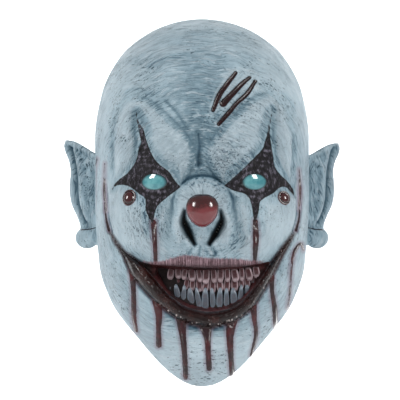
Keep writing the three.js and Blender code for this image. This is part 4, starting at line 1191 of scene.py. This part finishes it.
def gum(name, line):  # a curved strip with a bulge at each root
    topLine, footLine, back = line
    across, down = 120, 14
    us = np.linspace(jaw["start"] - 4.0, jaw["to"] + 3.5, across)
    points, faces = [], []
    for layer in (0, 1):
        for i in range(down):
            share = i / (down - 1)
            for a in us:
                y = jaw["front"] + jaw["curve"] * ((a - 6) / jaw["curveAt"]) ** 2 + back
                swell = math.sin(share * math.pi)
                bulge = 0.8 * abs(math.sin((a - jaw["start"]) / jaw["pitch"] * math.pi)) * swell
                y += (-bulge - 1.6 * swell) if layer == 0 else jaw["gumThick"]
                points.append(atDepth(a, mix(topLine(a), footLine(a), share), y))
    n = across * down

    def at(layer, i, j):
        return layer * n + i * across + j

    def quad(*corners):
        faces.append(tuple(at(*corner) for corner in corners))

    last, end = down - 1, across - 1
    for i in range(last):
        for j in range(end):
            quad((0, i, j), (0, i + 1, j), (0, i + 1, j + 1), (0, i, j + 1))
            quad((1, i, j), (1, i, j + 1), (1, i + 1, j + 1), (1, i + 1, j))
    for j in range(end):
        quad((0, 0, j), (0, 0, j + 1), (1, 0, j + 1), (1, 0, j))
        quad((0, last, j), (1, last, j), (1, last, j + 1), (0, last, j + 1))
    for i in range(last):
        quad((0, i, 0), (1, i, 0), (1, i + 1, 0), (0, i + 1, 0))
        quad((0, i, end), (0, i + 1, end), (1, i + 1, end), (1, i, end))
    obj = makeObject(name, points, faces)
    obj.data.materials.append(gumMaterial)
    return obj


gumMaterial = gumFinish()


def sideRise(at, amount):  # the rows climb a little towards the corners
    return amount * abs((at - 6) / 38.0) ** 2.2


def climbing(start, amount):
    return lambda at: start + sideRise(at, amount)


toothRow(
    "upperTeeth",
    [dict(shift=2.2, size=1.0, back=0.0, top=climbing(jaw["upperTop"], 2),
          foot=climbing(jaw["upperFoot"], 4)),
     dict(shift=3.0, size=0.98, back=3.0, top=climbing(jaw["secondTop"], 2),
          foot=climbing(jaw["secondFoot"], 8))],
    1, (climbing(-50.0, 0), climbing(-70.0, 4), 3.2), True, "upper_teeth", "4c2026", jaw["ivory"],
)
toothRow(
    "lowerTeeth",
    [dict(shift=1.4, size=1.0, back=1.0, top=climbing(jaw["lowerTop"], 8), foot=lambda a: lipTop(a) - 1.0)],
    -1, (climbing(-91.0, 10), lambda a: lipTop(a) - 7.0, 2.8), False, "lower_teeth", "5d6671", jaw["slate"],
)
print("teeth")


# gauze behind the mouth and the teeth
def gauzeFinish():
    f = Finish("blackGauze")
    weave = f.sum(f.bands("X", 320), f.bands("Z", 320), "MAXIMUM")
    fibres = f.noise(900, 2, 0.5)
    tint = f.blend(f.range(weave, 0.3, 0.9), colour("080303"), colour("180b0b"))
    f.set(Base_Color=f.blend(f.times(fibres, 0.4), tint, colour("2a1515")))
    f.set(Roughness=f.range(fibres, 0.3, 0.7, 0.75, 0.9), Normal=f.bump(weave, 0.0004, 0.8))
    return f.material


def recolour(node, material):
    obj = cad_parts[node]
    obj.data.materials.clear()
    obj.data.materials.append(material)


recolour("mouth_mesh", gauzeFinish())


# ears
ear = dict(
    plate=3.6, voxel=0.9, smoothing=9,
    outline=[(-10, 26), (4, 33), (14, 37.5), (26, 43), (38, 47), (45, 47.5), (43.6, 41), (39, 32),
             (36.8, 21), (38, 6), (36.4, -6), (31, -16), (27.4, -25), (26, -33), (24, -40), (14, -43),
             (-10, -36)],
    helix=[(8, 33), (20, 38.5), (32, 43.4), (41.4, 44.4), (40.4, 38.5), (36, 30), (34, 20), (35.2, 6),
           (33.4, -6), (28.4, -15), (24.6, -23), (22, -28)],
    helixRadius=3.0,
    fold=[(33, 40), (30, 35), (26.4, 28), (24.6, 20), (23.6, 10), (23, 0), (21.6, -8), (20, -15),
          (17, -22)],
    foldRadius=3.7,
    foldArm=[(25, 24), (17, 29), (11, 30)],
    bowl=[(13, 18), (13, 2), (10, -12)],
    groove=[(37, 41), (33.4, 35), (31.2, 28), (29.8, 19), (30, 6), (28.2, -6), (24, -15), (20.6, -23)],
    tragus=(6, -9, 3.4), lobe=(19, -37, 9.4),
)


def tubeAround(line, radius, toPlace, sides=12):
    points, faces = [], []
    line = np.array(line)
    n = len(line)
    for i, p in enumerate(line):
        tangent = unit(line[min(i + 1, n - 1)] - line[max(i - 1, 0)])
        side = np.array([tangent[1], -tangent[0], 0.0])
        r = radius * (0.45 + 0.55 * min(1, 4 * min(i, n - 1 - i) / n + 0.2))
        for k in range(sides):
            a = 2 * math.pi * k / sides
            points.append(p + side * r * math.cos(a) + np.array([0, 0, 1]) * r * math.sin(a))
    for i in range(n - 1):
        for k in range(sides):
            m = (k + 1) % sides
            faces.append((i * sides + k, i * sides + m, (i + 1) * sides + m, (i + 1) * sides + k))
    faces.append(tuple(range(sides - 1, -1, -1)))
    faces.append(tuple((n - 1) * sides + k for k in range(sides)))
    return toPlace(np.array(points)), faces


def earPiece(name, node, side, finish, change):
    root = np.array([84.0, -4.0, 0.0])
    turned = math.radians(40)
    outDir = np.array([math.cos(turned), math.sin(turned), 0.0])
    upDir = np.array([0.0, 0.0, 1.0])
    faceDir = np.cross(upDir, outDir) * -1  # towards the front

    def toPlace(local):  # s outward, t up, w towards the front
        p = root + local[:, :1] * outDir + local[:, 1:2] * upDir + local[:, 2:] * faceDir
        return p * np.array([side, 1, 1])

    outline = rounded([(a, b + change(a, b)) for a, b in ear["outline"]], closed=True, steps=4)
    helix = rounded([(a, b + change(a, b), 1.6) for a, b in ear["helix"]], steps=5)
    fold = rounded([(a, b + change(a, b) * 0.6, 2.0) for a, b in ear["fold"]], steps=5)
    arm = rounded([(a, b, 1.4) for a, b in ear["foldArm"]], steps=5)
    pieces = []
    plate = [(a, b, w) for w in (ear["plate"] / 2, -ear["plate"] / 2) for a, b in outline]
    n = len(outline)
    plateFaces = [tuple(range(n)), tuple(range(2 * n - 1, n - 1, -1))]
    plateFaces += [(k, k + n, (k + 1) % n + n, (k + 1) % n) for k in range(n)]
    pieces.append((toPlace(np.array(plate)), plateFaces))
    pieces.append(tubeAround(helix, ear["helixRadius"], toPlace))
    pieces.append(tubeAround(fold, ear["foldRadius"], toPlace))
    pieces.append(tubeAround(arm, ear["foldRadius"] * 0.8, toPlace))
    for s, t, r, wide, thick in ((*ear["lobe"], 1.25, 0.85), (*ear["tragus"], 1.0, 1.3)):
        p, f = lathe(ballProfile(21), 28)
        pieces.append((toPlace(p * r * np.array([wide, 1, thick]) + np.array([s, t, 1.0])), f))
    allPoints, allFaces, start = [], [], 0
    for p, f in pieces:
        allPoints.append(p)
        allFaces += [tuple(k + start for k in face) for face in f]
        start += len(p)
    obj = makeObject(name, np.vstack(allPoints), allFaces)
    bpy.context.view_layer.objects.active = obj
    obj.select_set(True)
    bpy.ops.object.mode_set(mode="EDIT")
    bpy.ops.mesh.select_all(action="SELECT")
    bpy.ops.mesh.normals_make_consistent(inside=False)
    bpy.ops.object.mode_set(mode="OBJECT")
    remesh = obj.modifiers.new("merge", "REMESH")
    remesh.mode = "VOXEL"
    remesh.voxel_size = ear["voxel"] * mm
    melt = obj.modifiers.new("melt", "SMOOTH")
    melt.factor, melt.iterations = 0.5, ear["smoothing"]
    depsgraph = bpy.context.evaluated_depsgraph_get()
    mesh = bpy.data.meshes.new_from_object(obj.evaluated_get(depsgraph))
    obj.modifiers.clear()
    obj.data = mesh
    obj.select_set(False)
    points = np.empty(len(mesh.vertices) * 3)
    mesh.vertices.foreach_get("co", points)
    points = points.reshape(-1, 3) / mm
    local = (points * np.array([side, 1, 1]) - root)
    s, t, w = local @ outDir, local @ upDir, local @ faceDir
    # scoop the bowl of the ear
    bowlLine = np.array(ear["bowl"], float)
    away, _, _ = lineDistance(s, t, rounded(bowlLine))
    onFront = smoothStep(-0.5, 1.5, w)
    groove, _, _ = lineDistance(s, t, rounded(ear["groove"]))
    scoop = 3.4 * np.exp(-(away / 5.5) ** 2) + 2.6 * np.exp(-(groove / 1.8) ** 2)
    points -= (scoop * onFront)[:, None] * faceDir * np.array([side, 1, 1])
    mesh.vertices.foreach_set("co", (points * mm).ravel())
    mesh.update()
    mesh.shade_smooth()
    faces = [tuple(q.vertices) for q in mesh.polygons]
    normals = np.empty(len(mesh.vertices) * 3)
    mesh.vertices.foreach_get("normal", normals)
    normals = normals.reshape(-1, 3)
    # painted shade: darker in the hollows, the bowl and the groove of the ear, and towards its root at the
    # head
    under = np.einsum("ij,ij->i", hollows(points, faces, 6), normals) * 0.8
    under += np.einsum("ij,ij->i", hollows(points, faces, 24), normals) * 0.3
    bowlShade = 0.5 * np.exp(-(away / 6) ** 2) * onFront + 1.0 * np.exp(-(groove / 2.4) ** 2) * onFront
    rootShade = 0.5 * smoothStep(12, 3, s) * onFront
    setAttribute(obj, "hollow", under + bowlShade + rootShade)
    brushStrokes(obj, points)
    seam, _, _ = lineDistance(s, t, rounded([(8, -28), (14, -29.5), (21, -30)]))
    setAttribute(obj, "inkClaw", np.clip(0.5 + (0.45 - seam) / 4, 0, 1) * onFront)
    obj.data.materials.append(finish)
    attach(obj, "head")
    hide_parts(node)
    return obj


earPiece("earSkinLeft", "ear_left", 1, skinFinish, lambda a, b: -2.5 * smoothStep(20, 44, b))
earPiece("earSkinRight", "ear_right", -1, skinFinish, lambda a, b: 0.0)
print("ears")


# inside: foam pads, strap, anchors, rivets, slider, slit patch
def foamFinish():
    f = Finish("openFoam")
    pores = f.cells(900)
    large = f.noise(120, 3, 0.6)
    tint = f.blend(f.range(large, 0.35, 0.65), colour("5c6066"), colour("44484e"))
    tint = f.blend(f.range(pores, 0.5, 0.15), tint, colour("24272b"))
    f.set(Base_Color=tint, Roughness=f.range(pores, 0.2, 0.6, 0.98, 0.86), Sheen_Weight=0.2)
    f.set(Normal=f.bump(f.sum(pores, f.times(large, 0.4)), 0.0008, 0.8))
    return f.material


foam = foamFinish()
pads = dict(roundOff=2.6, segments=3, fill=0.75)


def weaveFinish():
    f = Finish("ribbedElastic")
    ribs = f.bands("Z", 95)
    threads = f.noise(1400, 2, 0.5, f.scaled(0.4, 0.4, 1.0))
    tint = f.blend(f.range(ribs, 0.2, 0.9), colour("0c0c0e"), colour("26262b"))
    tint = f.blend(f.times(f.range(threads, 0.5, 0.75), 0.5), tint, colour("47474e"))
    f.set(Base_Color=tint, Roughness=f.range(threads, 0.3, 0.7, 0.7, 0.88), Sheen_Weight=0.3)
    f.set(Normal=f.bump(f.sum(ribs, f.times(threads, 0.5)), 0.0005, 0.8))
    return f.material


def nickelFinish():
    f = Finish("nickel")
    scratches = f.noise(1.0, 3, 0.6, f.scaled(2600, 500, 2600))
    spots = f.noise(300, 4, 0.6)
    f.set(Base_Color=f.blend(f.range(spots, 0.4, 0.7), colour("b9b4ab"), colour("8f8a82")), Metallic=1.0)
    f.set(Roughness=f.range(scratches, 0.3, 0.7, 0.16, 0.36), Normal=f.bump(scratches, 0.0001, 0.5))
    return f.material


def plasticFinish():
    f = Finish("blackPlastic")
    grain = f.noise(1500, 2, 0.6)
    worn = f.noise(90, 4, 0.6)
    f.set(Base_Color=f.blend(f.range(worn, 0.45, 0.75), colour("111114"), colour("2a2a2f")))
    f.set(Roughness=f.range(grain, 0.3, 0.7, 0.32, 0.5))
    f.set(Normal=f.bump(f.sum(grain, f.times(worn, 0.4)), 0.0002, 0.6))
    return f.material


def rawLatexFinish():
    f = Finish("rawLatex")
    mottle, brushed = f.noise(60, 4, 0.6), f.noise(1.0, 2, 0.6, f.scaled(300, 300, 40))
    tint = f.blend(f.range(mottle, 0.35, 0.65), colour(paint["latexBack"]), colour("a88f66"))
    f.set(Base_Color=f.blend(f.times(f.range(brushed, 0.55, 0.75), 0.4), tint, colour("e0d2b4")))
    f.set(Roughness=f.range(mottle, 0.3, 0.7, 0.55, 0.75))
    f.set(Normal=f.bump(f.sum(mottle, f.times(brushed, 0.6)), 0.0008, 0.7))
    return f.material


def roundedCopy(name, node, finish):  # the frame's shape with its edges broken
    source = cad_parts[node]
    obj = bpy.data.objects.new(name, source.data.copy())
    bpy.context.collection.objects.link(obj)
    obj.matrix_world = source.matrix_world
    obj.data.materials.clear()
    obj.data.materials.append(finish)
    weld = obj.modifiers.new("weld", "WELD")
    weld.merge_threshold = 0.00002
    bevel = obj.modifiers.new("edges", "BEVEL")
    bevel.width = pads["roundOff"] * mm
    bevel.segments = pads["segments"]
    bevel.limit_method = "ANGLE"
    bevel.angle_limit = math.radians(40)
    bevel.harden_normals = False
    obj.data.shade_smooth()
    return obj


latexRaw, elastic, nickel, plastic = rawLatexFinish(), weaveFinish(), nickelFinish(), plasticFinish()
for node, body in (
    ("forehead_pad", "head"), ("crown_pad", "head"), ("cheek_pad_left", "head"), ("cheek_pad_right", "head"),
    ("chin_pad", "head"), ("nape_pad_left", "flap_left"), ("nape_pad_right", "flap_right"),
):
    words = node.split("_")
    pad = roundedCopy(words[0] + "".join(w.capitalize() for w in words[1:]), node, foam)
    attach(pad, body)
    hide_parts(node)
for node, finish in (
    ("strap_anchor_left", latexRaw), ("strap_anchor_right", latexRaw), ("slit_patch", latexRaw),
    ("head_strap", elastic), ("strap_rivet_left", nickel), ("strap_rivet_right", nickel),
    ("strap_slider", plastic),
):
    recolour(node, finish)
print("inside pieces")


# studio
studio = dict(
    paper="f4f5f6", paperCloud="eef0f1", floorZ=-0.42, halfWidth=4.0, nearEnd=-4.0, bendFrom=2.6, bend=0.8,
    high=4.2, distance=2.2, seen=0.344, air=0.36,
    boxes=[  # name, place, aim, width, height, watts
        ("keyLeft", (-1.75, -1.25, 1.1), (0, 0, 0), 0.55, 0.9, 25),
        ("keyRight", (1.75, -1.25, 1.0), (0, 0, 0), 0.55, 0.9, 23),
        ("paperLeft", (-1.4, 1.6, 1.0), (-0.1, 3.1, 0), 0.8, 0.8, 55),
        ("paperRight", (1.4, 1.6, 1.0), (0.1, 3.1, 0), 0.8, 0.8, 55),
    ],
)


def paperFinish():
    f = Finish("studioPaper")
    tint = f.blend(f.times(f.noise(3, 2, 0.5), 0.15), colour(studio["paper"]), colour(studio["paperCloud"]))
    f.set(Base_Color=tint, Roughness=f.range(f.noise(140, 2, 0.5), 0.3, 0.7, 0.82, 0.92))
    return f.material


def sweep():  # floor and backdrop in one sheet of paper
    start, r = studio["bendFrom"], studio["bend"]
    profile = [(studio["nearEnd"], 0.0), (start, 0.0)]
    profile += [(start + r * math.sin(a), r - r * math.cos(a)) for a in np.linspace(0.1, math.pi / 2, 14)]
    profile.append((start + r, studio["high"]))
    points, faces = [], []
    for x in (-studio["halfWidth"], studio["halfWidth"]):
        points += [(x / mm, y / mm, (z + studio["floorZ"]) / mm) for y, z in profile]
    n = len(profile)
    for i in range(n - 1):
        faces.append((i, i + 1, n + i + 1, n + i))
    obj = makeObject("paperSweep", points, faces)
    obj.data.materials.append(paperFinish())
    return obj


def softBox(name, place, aim, width, height, watts):
    light = bpy.data.lights.new(name, "AREA")
    light.shape = "RECTANGLE"
    light.size, light.size_y, light.energy = width, height, watts
    obj = bpy.data.objects.new(name, light)
    bpy.context.collection.objects.link(obj)
    obj.location = place
    obj.rotation_euler = (Vector(aim) - Vector(place)).to_track_quat("-Z", "Y").to_euler()
    return obj


lights = [softBox(*box) for box in studio["boxes"]]
world = bpy.data.worlds.new("studioAir")
world.use_nodes = True
air = world.node_tree.nodes["Background"]
air.inputs["Color"].default_value = (1, 1, 1, 1)
air.inputs["Strength"].default_value = studio["air"]
bpy.context.scene.world = world
camera = bpy.data.objects.new("camera", bpy.data.cameras.new("camera"))
bpy.context.collection.objects.link(camera)
camera.location = (maskShape["eyeX"] * mm, -studio["distance"], maskShape["eyeZ"] * mm)
camera.rotation_euler = (math.pi / 2, 0, 0)
camera.data.lens = 36 * studio["distance"] / studio["seen"]
bpy.context.scene.camera = camera
sweep()
bpy.context.scene.view_settings.view_transform = "Standard"
